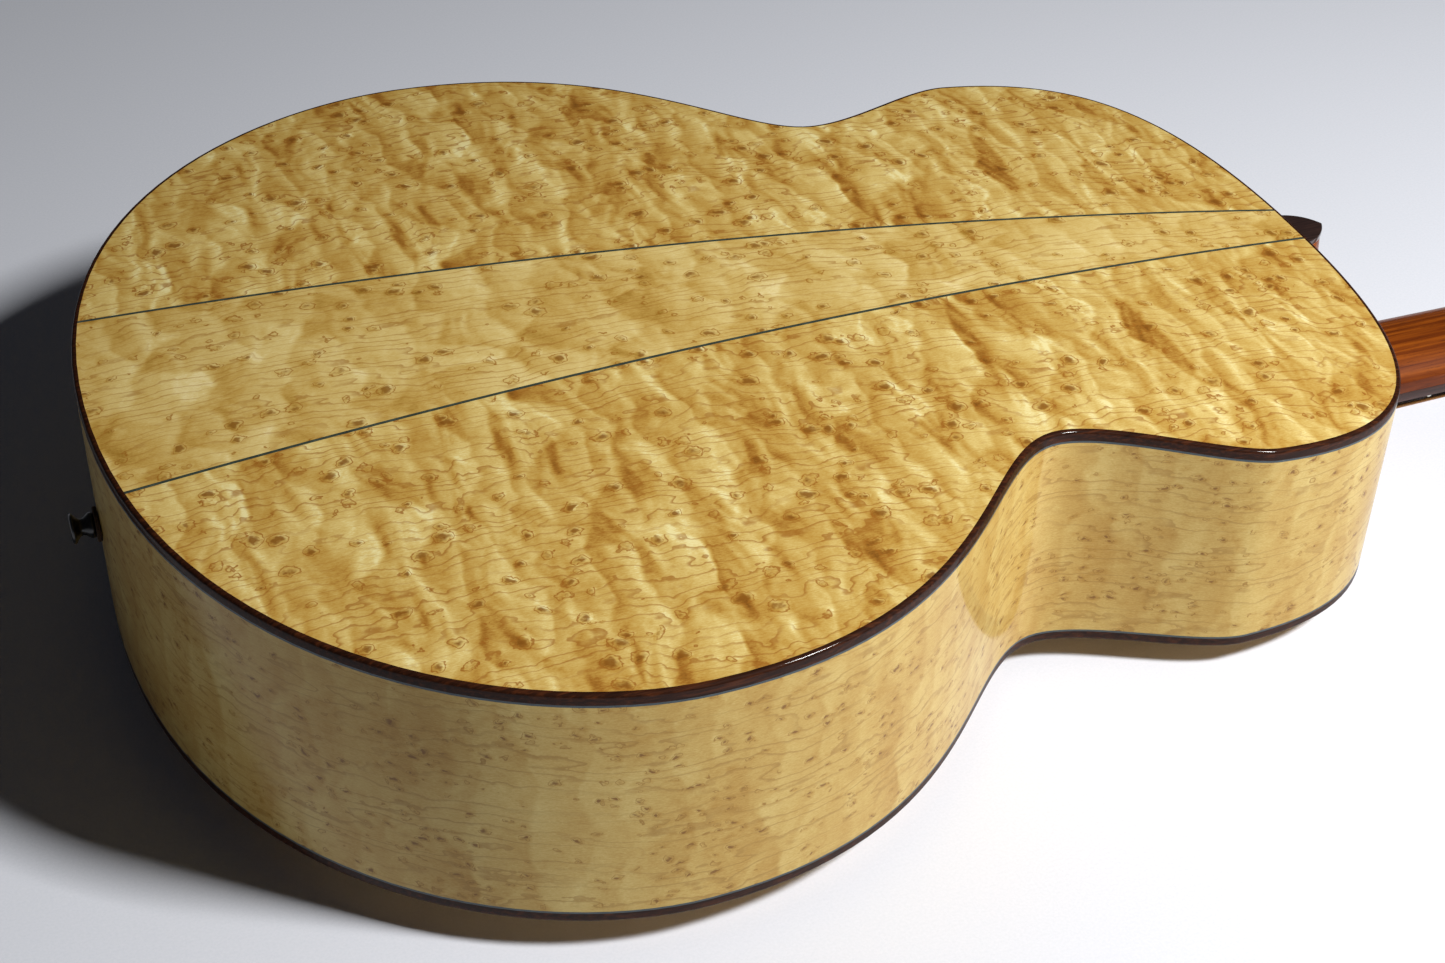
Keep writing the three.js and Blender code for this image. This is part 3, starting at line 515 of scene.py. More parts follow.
dressed(wing_maple("BassWingMaple", object_place), bass_wing)
dressed(wing_maple("TrebleWingMaple", mirrored_place), treble_wing)
PALE_TONES = [
    (0.0, "#845e1a"),
    (0.22, "#a47c32"),
    (0.42, "#bb964a"),
    (0.62, "#caac64"),
    (0.85, "#d8c07d"),
    (1.0, "#e5d298"),
]
wedge_relief = relief_group(
    "WedgeRelief",
    blister=(0.020, 0.024, 0.03),
    depth=2.0,
    eye=(0.0100, 0.0080, 0.01),
    eye_depth=2.2,
    eye_share=0.76,
    cluster=30,
)
wedge_maple = maple_finish(
    "CentreWedgeMaple",
    wedge_relief,
    object_place,
    shift=(0.2, 0.7, 0.0),
    ring=0.0046,
    drift=0.04,
    gain=0.5,
    patch=(0.020, 0.020, 0.03),
    flash_gain=0.5,
    tones=PALE_TONES,
    line_tone="#98641f",
    line_share=0.6,
    eye_tone="#84561a",
)
dressed(wedge_maple, centre_wedge)

# ---------------------------------------------------------------------------------------------
# Strips between the plates
# Two thin lines of dark grey-green dyed veneer, let into the joints of the back and scraped level
# with it.
# ---------------------------------------------------------------------------------------------

bass_strip = back_plate(
    "BassStrip",
    (-WEDGE_AT_TAIL - HALF_STRIP, -WEDGE_AT_HEEL - HALF_STRIP),
    (HALF_STRIP - WEDGE_AT_TAIL, HALF_STRIP - WEDGE_AT_HEEL),
    "grey_purfling",
    "back_strip_bass",
)
treble_strip = back_plate(
    "TrebleStrip",
    (WEDGE_AT_TAIL - HALF_STRIP, WEDGE_AT_HEEL - HALF_STRIP),
    (WEDGE_AT_TAIL + HALF_STRIP, WEDGE_AT_HEEL + HALF_STRIP),
    "grey_purfling",
    "back_strip_treble",
)
strip_look = grained(
    "DyedVeneer", (0.004, 0.0004, 0.002), 0.6,
    (0.25, "#20261f"), (0.55, "#3d453b"), (0.8, "#5b6358"),
    Roughness=0.4, Coat_Weight=1.0, Coat_Roughness=0.06,
)
dressed(strip_look, bass_strip, treble_strip)

# ---------------------------------------------------------------------------------------------
# Binding
# A strip of dark rosewood bent round each edge of the body. The back one is scraped round on its
# outer corner. Both are lacquered over with the sides.
# ---------------------------------------------------------------------------------------------

BINDING_HEIGHT = 0.0041
CORNER_RADIUS = 0.0013
TOP_CORNER_RADIUS = 0.0012
LINE_HEIGHT = 0.0009


def rim_ring(name, floor, ceiling, width=BINDING_WIDTH):
    """A band along the outline, from its outside to width inside it."""
    piece = body_outline(name)
    pick(piece, lambda face: True)
    bpy.ops.mesh.inset(thickness=width, use_even_offset=True)
    bpy.ops.mesh.delete(type="FACE")
    raised(piece, floor, ceiling)
    return piece


def rounded_rim(piece, height_of, radius):
    """Rounds the outer edge of a band where it lies at the given height."""
    outline = inset_plate("edge_guide")
    inner = {(round(v.co.x, 5), round(v.co.y, 5)) for v in outline.data.vertices}
    bpy.data.objects.remove(outline)

    def on_corner(edge):
        for i in edge.vertices:
            x, y, z = piece.data.vertices[i].co
            if abs(z - height_of(x, y)) > 0.00001 or (round(x, 5), round(y, 5)) in inner:
                return False
        return True

    pick(piece, on_corner, "edges")
    bpy.ops.mesh.bevel(offset=radius, segments=5, profile=0.5, clamp_overlap=True)
    bpy.ops.object.mode_set(mode="OBJECT")


def below_back(depth):
    return lambda x, y: back_height(x, y) - depth


def at(height):
    return lambda x, y: height


back_binding = rim_ring("BackBinding", below_back(BINDING_HEIGHT), back_height)
rounded_rim(back_binding, back_height, CORNER_RADIUS)
laid(back_binding, "body_and_neck", "rosewood_binding", "back_binding", angle=40)
top_binding = rim_ring("TopBinding", at(0), at(BINDING_HEIGHT))
rounded_rim(top_binding, at(0), TOP_CORNER_RADIUS)
laid(top_binding, "body_and_neck", "rosewood_binding", "top_binding", angle=40)


def streaked(name, size, stops, pores, **sockets):
    """A dark or brown wood with long streaks and short open pores along X."""
    finish, tree, shader = new_finish(name, **sockets)
    place = object_place(tree)
    streak = noise(tree, stretched(tree, place, size), 1.0, 4, 0.6, 0.3)
    pore = noise(tree, stretched(tree, place, (0.006, 0.00035, 0.00035)), 1.0, 2, 0.5)
    pore = fade(tree, pore, 0.62, 0.72, 0.0, pores)
    colour = ramp(tree, streak, *stops)
    colour = mixed(tree, pore, colour, paint(stops[0][1]))
    tree.links.new(colour, shader.inputs["Base Color"])
    bumped(tree, shader, pore, 0.12, 0.0002, invert=True)
    return finish


rosewood = streaked(
    "LacqueredRosewood", (0.03, 0.0012, 0.0012),
    [(0.2, "#120804"), (0.5, "#2d150a"), (0.75, "#522912"), (0.95, "#784420")],
    0.7, Roughness=0.6, Specular_IOR_Level=0.05, Coat_Weight=0.25, Coat_Roughness=0.05,
)
dressed(rosewood, back_binding, top_binding)

# ---------------------------------------------------------------------------------------------
# Purfling lines on the sides
# A thin line of blue-grey dyed wood under the back binding and another over the top binding.
# ---------------------------------------------------------------------------------------------

LINE_WIDTH = 0.0018
LINE_END = BINDING_HEIGHT + LINE_HEIGHT
back_line = rim_ring("BackSideLine", below_back(LINE_END), below_back(BINDING_HEIGHT), LINE_WIDTH)
laid(back_line, "body_and_neck", "grey_purfling", "back_side_purfling")
top_line = rim_ring("TopSideLine", at(BINDING_HEIGHT), at(LINE_END), LINE_WIDTH)
laid(top_line, "body_and_neck", "grey_purfling", "top_side_purfling")
line_look = grained(
    "BlueGreyLine", (0.003, 0.003, 0.0005), 0.6,
    (0.2, "#202c31"), (0.55, "#34444a"), (0.85, "#4d5c5f"),
    Roughness=0.5, Coat_Weight=0.3, Coat_Roughness=0.05,
)
dressed(line_look, back_line, top_line)

# ---------------------------------------------------------------------------------------------
# Sides
# Two strips of birdseye maple, 2.2 mm thick, bent to the outline and joined at the tail and at the
# heel. Their figure is finer than the back's, with small brown eyes in rows along the grain.
# ---------------------------------------------------------------------------------------------

SIDE_THICKNESS = 0.0022
SIDE_EDGE = LINE_END
# Arc length along the treble half of the outline, by place, for the grain that follows the bend.
guide = body_outline("bend_guide", 60)
bend_points = np.array([v.co.xy for v in guide.data.vertices if v.co.y >= 0])
bpy.data.objects.remove(guide)
bend_run = np.concatenate([[0], np.cumsum(np.linalg.norm(np.diff(bend_points, axis=0), axis=1))])


def run_along_rim(place):
    near = np.linalg.norm(bend_points - np.array((place.x, abs(place.y))), axis=1)
    return float(bend_run[near.argmin()])


def rim_map(piece, side):
    """A UV map in metres: along the rim from the tail, and up."""
    layer = piece.data.uv_layers.new(name="RimMap")
    run = [run_along_rim(v.co) for v in piece.data.vertices]
    for loop in piece.data.loops:
        vertex = piece.data.vertices[loop.vertex_index]
        layer.data[loop.index].uv = (side * run[vertex.index], vertex.co.z)


def side_strip(name, side, node):
    piece = rim_ring(name, at(SIDE_EDGE), below_back(SIDE_EDGE), SIDE_THICKNESS)
    whole(piece)
    bpy.ops.mesh.bisect(
        plane_co=(0, 0, 0), plane_no=(0, side, 0), clear_inner=True, use_fill=True, threshold=0.000001
    )
    bpy.ops.object.mode_set(mode="OBJECT")
    rim_map(piece, side)
    return laid(piece, "body_and_neck", "maple_side", node)


treble_side = side_strip("TrebleSide", 1, "side_treble")
bass_side = side_strip("BassSide", -1, "side_bass")


def rim_place(tree):
    return put(tree, "ShaderNodeUVMap", uv_map="RimMap").outputs["UV"]


SIDE_TONES = [
    (0.0, "#875b1d"),
    (0.22, "#a17630"),
    (0.42, "#b58d42"),
    (0.62, "#c4a35a"),
    (0.85, "#d5bc75"),
    (1.0, "#e0cf90"),
]
side_relief = relief_group(
    "SideRelief",
    blister=(0.022, 0.016, 0.03),
    depth=1.5,
    eye=(0.0062, 0.0032, 0.01),
    eye_depth=1.1,
    eye_share=0.62,
    cluster=24,
)
side_maple = maple_finish(
    "SideMaple",
    side_relief,
    rim_place,
    shift=(0.35, 0.1, 0.0),
    ring=0.0068,
    drift=0.05,
    gain=0.3,
    patch=(0.016, 0.040, 0.03),
    flash_gain=0.26,
    tones=SIDE_TONES,
    line_tone="#99702f",
    line_share=0.55,
    eye_tone="#7c5220",
)
dressed(side_maple, treble_side, bass_side)

# ---------------------------------------------------------------------------------------------
# Inside the body: blocks, linings, braces
# Mahogany blocks at both ends, spruce linings along the glue joints, spruce braces, and a maple
# plate under the bridge. They are sanded and left without lacquer.
# ---------------------------------------------------------------------------------------------

nodes = frame["nodes"]
bare_spruce = grained(
    "BareSpruce", (0.12, 0.0016, 0.0016), 0.55,
    (0.25, "#b98f56"), (0.5, "#d8ba84"), (0.75, "#e6cfa0"),
    bump=(0.2, 0.0003), Roughness=0.75,
)
spruce_parts = ["top_lining", "back_lining", "x_brace", "upper_transverse_brace"]
spruce_parts += ["tone_bar_1", "tone_bar_2"]
spruce_parts += [f"back_brace_{i}" for i in range(1, 5)]
dressed(bare_spruce, *[nodes[name] for name in spruce_parts])
bare_mahogany = streaked(
    "BareMahogany", (0.05, 0.0025, 0.0025),
    [(0.25, "#5a2c14"), (0.5, "#7f4521"), (0.8, "#a5663a")],
    0.6, Roughness=0.7,
)
dressed(bare_mahogany, nodes["neck_block"], nodes["tail_block"])
dressed(wedge_maple, nodes["bridge_plate"])

# ---------------------------------------------------------------------------------------------
# Soundboard and rosette
# A lacquered spruce plate with close straight rings, cut through for the soundhole, with a ring of
# shell pieces between black lines let in round the hole.
# ---------------------------------------------------------------------------------------------

SOUNDHOLE = Vector((0.358, 0, 0))
SOUNDHOLE_RADIUS = 0.050
ROSETTE_OUTSIDE = 0.0595
ROSETTE_WIDTH = 0.0065
ROSETTE_DEPTH = 0.0012


def carved(piece, tool, operation="DIFFERENCE"):
    """Cuts a piece with another and removes the tool."""
    cut = piece.modifiers.new("cut", "BOOLEAN")
    cut.operation = operation
    cut.solver = "EXACT"
    cut.object = tool
    only(piece)
    bpy.ops.object.modifier_apply(modifier=cut.name)
    bpy.data.objects.remove(tool)


def placed_cylinder(name, radius, low, high, place, sides=96):
    only_nothing()
    bpy.ops.mesh.primitive_cylinder_add(
        vertices=sides, radius=radius, depth=high - low, location=(place.x, place.y, (high + low) / 2)
    )
    piece = bpy.context.object
    piece.name = name
    bpy.ops.object.transform_apply(location=True, rotation=True, scale=True)
    return piece


soundboard = inset_plate("Soundboard")
raised(soundboard, at(0), at(PLATE_THICKNESS))
carved(soundboard, placed_cylinder("hole_tool", SOUNDHOLE_RADIUS, -0.01, 0.01, SOUNDHOLE))
groove = placed_cylinder("groove_tool", ROSETTE_OUTSIDE, -0.01, ROSETTE_DEPTH, SOUNDHOLE)
carved(groove, placed_cylinder("core_tool", ROSETTE_OUTSIDE - ROSETTE_WIDTH, -0.02, 0.02, SOUNDHOLE))
carved(soundboard, groove)
laid(soundboard, "body_and_neck", "spruce_top", "soundboard")
rosette = placed_cylinder("Rosette", ROSETTE_OUTSIDE, 0.00005, ROSETTE_DEPTH, SOUNDHOLE)
carved(rosette, placed_cylinder("core_tool", ROSETTE_OUTSIDE - ROSETTE_WIDTH, -0.02, 0.02, SOUNDHOLE))
laid(rosette, "body_and_neck", "rosette_inlay", "rosette")

spruce, tree, shader = new_finish("LacqueredSpruce", Roughness=0.4, Coat_Weight=1.0, Coat_Roughness=0.05)
place = object_place(tree)
rings = noise(tree, stretched(tree, place, (0.4, 0.0013, 0.01)), 1.0, 2, 0.5, 0.1)
silk = noise(tree, stretched(tree, place, (0.004, 0.02, 0.01)), 1.0, 3, 0.6)
colour = ramp(tree, rings, (0.3, "#b8843f"), (0.5, "#d9ad68"), (0.72, "#e8c98e"))
silk = fade(tree, silk, 0.35, 0.75, 0.0, 0.25)
tree.links.new(mixed(tree, silk, colour, paint("#f0dba8")), shader.inputs["Base Color"])
dressed(spruce, soundboard)

shell, tree, shader = new_finish("PearlAndLines", Roughness=0.25, Coat_Weight=1.0, Coat_Roughness=0.05)
place = object_place(tree)
centre = lying @ SOUNDHOLE
reach = put(tree, "ShaderNodeVectorMath", {0: place, 1: centre}, operation="DISTANCE").outputs["Value"]
chips = put(tree, "ShaderNodeTexVoronoi", {"Vector": place, "Scale": 420.0}, feature="F1")
hue = noise(tree, place, 90, 2, 0.6)
pearl = ramp(tree, hue, (0.3, "#3f7d74"), (0.45, "#8fb7a0"), (0.6, "#c9b3c4"), (0.75, "#d9d9c4"))
chip_tone = put(tree, "ShaderNodeSeparateColor", {"Color": chips.outputs["Color"]}).outputs["Red"]
pearl = mixed(tree, calc(tree, "MULTIPLY", chip_tone, 0.5), pearl, paint("#e9ece0"))
middle_ring = ROSETTE_OUTSIDE - ROSETTE_WIDTH / 2
off_middle = calc(tree, "ABSOLUTE", calc(tree, "SUBTRACT", reach, middle_ring))
border = fade(tree, off_middle, 0.0021, 0.0022)
tree.links.new(mixed(tree, border, pearl, paint("#15120f")), shader.inputs["Base Color"])
dressed(shell, rosette)

# ---------------------------------------------------------------------------------------------
# Bridge, saddle and bridge pins
# A block of ebony glued to the soundboard with its wings planed thin, a slanted bone saddle, and
# six turned ebony pins that hold the string ends.
# ---------------------------------------------------------------------------------------------

SCALE_LENGTH = 0.645


def fret_place(fret):
    return SCALE_LENGTH * (1 - 2 ** (-fret / 12))


def block(name, place, size):
    only_nothing()
    bpy.ops.mesh.primitive_cube_add(size=1, location=place, scale=size)
    piece = bpy.context.object
    piece.name = name
    bpy.ops.object.transform_apply(location=True, rotation=True, scale=True)
    return piece


def softened(piece, width, segments, angle=30):
    """Rounds the edges of a piece that turn by more than an angle in degrees."""
    edge = piece.modifiers.new("edge", "BEVEL")
    edge.width = width
    edge.segments = segments
    edge.limit_method = "ANGLE"
    edge.angle_limit = math.radians(angle)
    only(piece)
    bpy.ops.object.modifier_apply(modifier=edge.name)


NUT_FROM_BODY = fret_place(14)
SADDLE_X = BODY_LENGTH - (SCALE_LENGTH - NUT_FROM_BODY)
BRIDGE_SIZE = (0.036, 0.152, 0.0088)
BRIDGE_X = SADDLE_X - 0.009
WING_START = 0.042
WING_END = 0.050
# How far from the middle the wings are planed, and how much is taken off there.
WING_PLANING = ((0.049, 0.0043), (0.07, 0.0053))
bridge = block("Bridge", (BRIDGE_X, 0, -BRIDGE_SIZE[2] / 2), BRIDGE_SIZE)
for y in (-WING_END, -WING_START, WING_START, WING_END):
    whole(bridge)
    bpy.ops.mesh.bisect(plane_co=(0, y, 0), plane_no=ACROSS)
    bpy.ops.object.mode_set(mode="OBJECT")
for y_from, drop in WING_PLANING:
    for vertex in bridge.data.vertices:
        if abs(vertex.co.y) > y_from and vertex.co.z < -0.003:
            vertex.co.z = drop - BRIDGE_SIZE[2]
softened(bridge, 0.0009, 3)
laid(bridge, "body_and_neck", "ebony", "bridge")
ebony = streaked(
    "Ebony", (0.03, 0.0008, 0.0008),
    [(0.25, "#0b0706"), (0.55, "#1d1210"), (0.9, "#38241d")],
    0.5, Roughness=0.38, Specular_IOR_Level=0.4,
)
dressed(ebony, bridge)

bone = grained(
    "PolishedBone", (0.0008, 0.004, 0.0008), 0.6,
    (0.3, "#d8cba8"), (0.55, "#ece4cf"), (0.8, "#f4efe2"),
    Roughness=0.3, Subsurface_Weight=0.15, Subsurface_Radius=(0.002, 0.0015, 0.001),
)
dressed(bone, nodes["saddle"], nodes["nut"])


def turned_piece(name, steps, sides=40):
    """A turned piece along Z from its bottom face: steps are (radius, height)."""
    only_nothing()
    radius, height = steps[0]
    bpy.ops.mesh.primitive_circle_add(
        vertices=sides, radius=radius, fill_type="NGON", location=(0, 0, height)
    )
    piece = bpy.context.object
    piece.name = name
    bpy.ops.object.transform_apply(location=True, rotation=True, scale=True)
    bpy.ops.object.mode_set(mode="EDIT")
    bpy.ops.mesh.select_all(action="SELECT")
    for next_radius, next_height in steps[1:]:
        bpy.ops.mesh.extrude_region_move(TRANSFORM_OT_translate={"value": (0, 0, next_height - height)})
        share = next_radius / radius
        bpy.ops.transform.resize(value=(share, share, 1), center_override=(0, 0, next_height))
        radius, height = next_radius, next_height
    bpy.ops.mesh.select_all(action="SELECT")
    bpy.ops.mesh.normals_make_consistent(inside=False)
    bpy.ops.object.mode_set(mode="OBJECT")
    return piece


def copied(piece, name, matrix):
    """A copy with its own mesh, put in place by a matrix."""
    twin = piece.copy()
    twin.data = piece.data.copy()
    twin.name = name
    bpy.context.scene.collection.objects.link(twin)
    twin.data.transform(matrix)
    return twin


PIN_STEPS = [
    (0.0021, 0.0), (0.0024, -0.0086), (0.0037, -0.0090), (0.0040, -0.0100),
    (0.0036, -0.0112), (0.0024, -0.0119), (0.0008, -0.0121),
]
pin_pattern = turned_piece("pin_pattern", PIN_STEPS, 24)
PIN_SETBACK = 0.015
HALF_STRING_SPREAD = 0.0272
STRING_PLACES = [1 - i / 2.5 for i in range(6)]
for number, share in enumerate(STRING_PLACES, 1):
    place = Matrix.Translation((SADDLE_X - PIN_SETBACK, HALF_STRING_SPREAD * share, 0))
    pin = copied(pin_pattern, f"BridgePin{number}", place)
    laid(pin, "body_and_neck", "ebony")
    dressed(ebony, pin)
bpy.data.objects.remove(pin_pattern)

# ---------------------------------------------------------------------------------------------
# Neck, heel and headstock
# One piece of mahogany: a half-round shaft, a heel that sweeps up to the back of the body, and a
# tilted headstock. It is carved by hand, so every transition is a soft one, and lacquered.
# ---------------------------------------------------------------------------------------------

NECK_ANGLE = math.radians(0.469)
HEAD_ANGLE = math.radians(14.5)
NUT_THICKNESS = 0.005
on_neck = Matrix.Translation((BODY_LENGTH, 0, 0)) @ Matrix.Rotation(-NECK_ANGLE, 4, "Y")
head_start = Matrix.Translation((NUT_FROM_BODY + NUT_THICKNESS, 0, 0))
on_head = on_neck @ head_start @ Matrix.Rotation(-HEAD_ANGLE, 4, "Y")

neck = copied(nodes["neck"], "Neck", lying.inverted())
neck.parent = None
for key in list(neck.keys()):
    del neck[key]
pick(neck, lambda v: True, "vertices")
bpy.ops.mesh.remove_doubles(threshold=0.00002)
bpy.ops.object.mode_set(mode="OBJECT")
# The face under the fingerboard is moved out before the carving, which would round its edges, and
# is cut flat after it.
from_neck = on_neck.inverted()
GLUE_FACE = 0.00015
SPARE_WOOD = 0.004
CARVING_STEP = 0.0013
for vertex in neck.data.vertices:
    local = from_neck @ vertex.co
    if abs(local.z - GLUE_FACE) < 0.0002 and local.x < NUT_FROM_BODY + 0.004:
        local.z -= SPARE_WOOD
        vertex.co = on_neck @ local
carving = neck.modifiers.new("carving", "REMESH")
carving.mode = "VOXEL"
carving.voxel_size = CARVING_STEP
only(neck)
bpy.ops.object.modifier_apply(modifier=carving.name)
sanding = neck.modifiers.new("sanding", "SMOOTH")
sanding.factor = 0.5
sanding.iterations = 14
bpy.ops.object.modifier_apply(modifier=sanding.name)
whole(neck)
bpy.ops.mesh.bisect(
    plane_co=on_neck @ Vector((0, 0, 0.00002)),
    plane_no=on_neck.to_3x3() @ Vector((0, 0, 1)),
    clear_inner=True,
    use_fill=True,
)
bpy.ops.object.mode_set(mode="OBJECT")
laid(neck, "body_and_neck", "mahogany", "neck", angle=50)
mahogany = streaked(
    "LacqueredMahogany", (0.07, 0.0022, 0.0075),
    [(0.2, "#3a1402"), (0.42, "#642a04"), (0.6, "#83400a"), (0.85, "#a65c14")],
    0.75, Roughness=0.55, Specular_IOR_Level=0.12, Coat_Weight=0.4, Coat_Roughness=0.04, Coat_IOR=1.4,
)
dressed(mahogany, neck)

# ---------------------------------------------------------------------------------------------
# Heel cap and headplate
# Thin plates of ebony glued to the end of the heel, level with the back, and to the headstock's
# face. The cap is a pointed arch.
# ---------------------------------------------------------------------------------------------

CAP_START = BODY_LENGTH - 0.004
CAP_LENGTH = 0.019
CAP_HALF_WIDTH = 0.0126
CAP_TOP = 0.0844
CAP_THICKNESS = 0.0027
tip = CAP_START + CAP_LENGTH


def handle_from(place, side):
    """A curve handle two thirds of the way from a place to where the arch bulges on one side."""
    bulge = Vector((CAP_START + CAP_LENGTH * 0.72, CAP_HALF_WIDTH * 0.92 * side, 0))
    return place.lerp(bulge, 2 / 3)


only_nothing()
bpy.ops.curve.primitive_bezier_curve_add()
spline = bpy.context.object.data.splines[0]
spline.bezier_points.add(1)
spline.resolution_u = 24
for point, side in zip(spline.bezier_points, (-1, 0, 1)):
    point.handle_left_type = point.handle_right_type = "FREE"
    point.co = (CAP_START if side else tip, side * CAP_HALF_WIDTH, 0)
    point.handle_right = handle_from(point.co, -1 if side < 0 else 1)
    point.handle_left = handle_from(point.co, 1 if side > 0 else -1)
bpy.ops.object.convert(target="MESH")
heel_cap = bpy.context.object
heel_cap.name = "HeelCap"
whole(heel_cap)
bpy.ops.mesh.edge_face_add()
bpy.ops.object.mode_set(mode="OBJECT")
raised(heel_cap, at(CAP_TOP - CAP_THICKNESS), at(CAP_TOP))
softened(heel_cap, 0.0004, 3, 60)
laid(heel_cap, "body_and_neck", "ebony", "heel_cap", angle=40)
lacquered_ebony = streaked(
    "LacqueredEbony", (0.02, 0.001, 0.001),
    [(0.2, "#160c0a"), (0.55, "#2c1b17"), (0.9, "#4a332b")],
    0.5, Roughness=0.4, Coat_Weight=1.0, Coat_Roughness=0.08,
)
dressed(lacquered_ebony, heel_cap, nodes["headplate"])

# ---------------------------------------------------------------------------------------------
# Fingerboard, frets and truss rod
# A dark rosewood board glued to the neck, its face arched to a 406 mm radius, with twenty frets of
# nickel silver pressed in, and a steel rod in the neck under it.
# ---------------------------------------------------------------------------------------------

BOARD_THICKNESS = 0.0054
BOARD_RADIUS = 0.406
LAST_FRET = 20
HALF_AT_BODY = 0.0246
HALF_AT_NUT = 0.0213
board_low = NUT_FROM_BODY - fret_place(LAST_FRET) - 0.004


def board_half_width(x):
    return HALF_AT_BODY + (HALF_AT_NUT - HALF_AT_BODY) / NUT_FROM_BODY * x


board = block(
    "Fingerboard",
    ((board_low + NUT_FROM_BODY) / 2, 0, -BOARD_THICKNESS / 2),
    (NUT_FROM_BODY - board_low, 2, BOARD_THICKNESS),
)
sliced(board, ACROSS, -1, 1, 16)
for vertex in board.data.vertices:
    vertex.co.y *= board_half_width(vertex.co.x)
    if vertex.co.z < -BOARD_THICKNESS / 2:
        vertex.co.z += vertex.co.y**2 / (2 * BOARD_RADIUS)
softened(board, 0.0005, 2)
board.data.transform(on_neck)
laid(board, "body_and_neck", "rosewood_board", "fingerboard", angle=40)
board_wood = streaked(
    "OiledRosewood", (0.04, 0.0012, 0.0016),
    [(0.2, "#1e0f0b"), (0.5, "#3a201a"), (0.75, "#54312a"), (0.95, "#74493c")],
    0.8, Roughness=0.45,
)
dressed(board_wood, board)

FRET_HALF_WIDTH = 0.0011
FRET_HEIGHT = 0.0008
nickel = grained(
    "NickelSilver", (0.0004, 0.006, 0.0004), 0.6,
    (0.3, "#b9b6ac"), (0.7, "#d9d7cf"), Metallic=1.0, Roughness=0.2,
)
for fret in range(1, LAST_FRET + 1):
    x = NUT_FROM_BODY - fret_place(fret)
    half = board_half_width(x) - 0.0003
    only_nothing()
    bpy.ops.mesh.primitive_cylinder_add(
        vertices=12, radius=1, depth=2, location=(x, 0, 0), rotation=(math.pi / 2, 0, 0),
        scale=(FRET_HALF_WIDTH, FRET_HEIGHT, half),
    )
    wire = bpy.context.object
    wire.name = f"Fret{fret:02d}"
    bpy.ops.object.transform_apply(location=True, rotation=True, scale=True)
    sliced(wire, ACROSS, -half, half, 8)
    whole(wire)
    bpy.ops.mesh.bisect(plane_co=(0, 0, 0.0001), plane_no=(0, 0, 1), clear_outer=True, use_fill=True)
    bpy.ops.object.mode_set(mode="OBJECT")
    for vertex in wire.data.vertices:
        vertex.co.z += vertex.co.y**2 / (2 * BOARD_RADIUS) - BOARD_THICKNESS
    wire.data.transform(on_neck)
    laid(wire, "body_and_neck", "plain_steel", angle=50)
    dressed(nickel, wire)
steel = grained(
    "PlainSteel", (0.01, 0.0003, 0.0003), 0.6,
    (0.3, "#a9aaad"), (0.7, "#cfd0d3"), Metallic=1.0, Roughness=0.25,
)
dressed(steel, nodes["truss_rod"], nodes["string_1"], nodes["string_2"])

# ---------------------------------------------------------------------------------------------
# Strings
# Two of plain steel and four wound with bronze, from the bridge pins over the saddle and the nut
# to the tuner posts. The CAD strings stay. The winding is in the finish, with painted shade in the
# grooves between the wraps.
# ---------------------------------------------------------------------------------------------

wound, tree, shader = new_finish("WoundBronze", Metallic=1.0, Roughness=0.3)
place = object_place(tree)
winding = put(
    tree, "ShaderNodeTexWave", {"Vector": place, "Scale": 560.0}, wave_type="BANDS", bands_direction="X"
).outputs["Fac"]
# The bands darken the colour where the bump dips: painted shade in the grooves between the wraps.
tree.links.new(ramp(tree, winding, (0.1, "#7d4d22"), (0.6, "#c58e55")), shader.inputs["Base Color"])
bumped(tree, shader, winding, 0.6, 0.0002)
dressed(wound, *[nodes[f"string_{i}"] for i in range(3, 7)])

# ---------------------------------------------------------------------------------------------
# Tuning machines
# Six closed machines, chromed: a housing screwed to the back of the headstock, a post with a collar
# through it, and a button on the worm's shaft.
# ---------------------------------------------------------------------------------------------

HEAD_THICKNESS = 0.014
HEADPLATE = 0.0015
HOUSING_SIZE = (0.018, 0.014, 0.009)
GEAR_RADIUS = 0.0048
WORM_RADIUS = 0.0023
WORM_OFFSET = GEAR_RADIUS + WORM_RADIUS + 0.0003
WORM_HEIGHT = HEAD_THICKNESS + 0.0003 + 0.0046
POST_PLACES = [(0.044, 0.024), (0.084, 0.026), (0.124, 0.028)]
chrome, tree, shader = new_finish("Chrome", Metallic=1.0, Roughness=0.09)
haze = noise(tree, object_place(tree), 160, 3, 0.6)
tree.links.new(ramp(tree, haze, (0.3, "#cfd1d4"), (0.7, "#e6e7e9")), shader.inputs["Base Color"])
tree.links.new(calc(tree, "MULTIPLY_ADD", haze, 0.1, 0.04), shader.inputs["Roughness"])

housing = block("housing_pattern", (0, 0, HEAD_THICKNESS + HOUSING_SIZE[2] / 2), HOUSING_SIZE)


def is_upright(edge):
    a, b = (housing.data.vertices[i].co for i in edge.vertices)
    return abs(a.z - b.z) > 0.001


pick(housing, is_upright, "edges")
bpy.ops.mesh.bevel(offset=0.0035, segments=6)
bpy.ops.object.mode_set(mode="OBJECT")
pick(housing, lambda face: face.normal.z > 0.9)
bpy.ops.mesh.inset(thickness=0.0012)
bpy.ops.transform.translate(value=(0, 0, 0.0006))
bpy.ops.object.mode_set(mode="OBJECT")
softened(housing, 0.0008, 3)

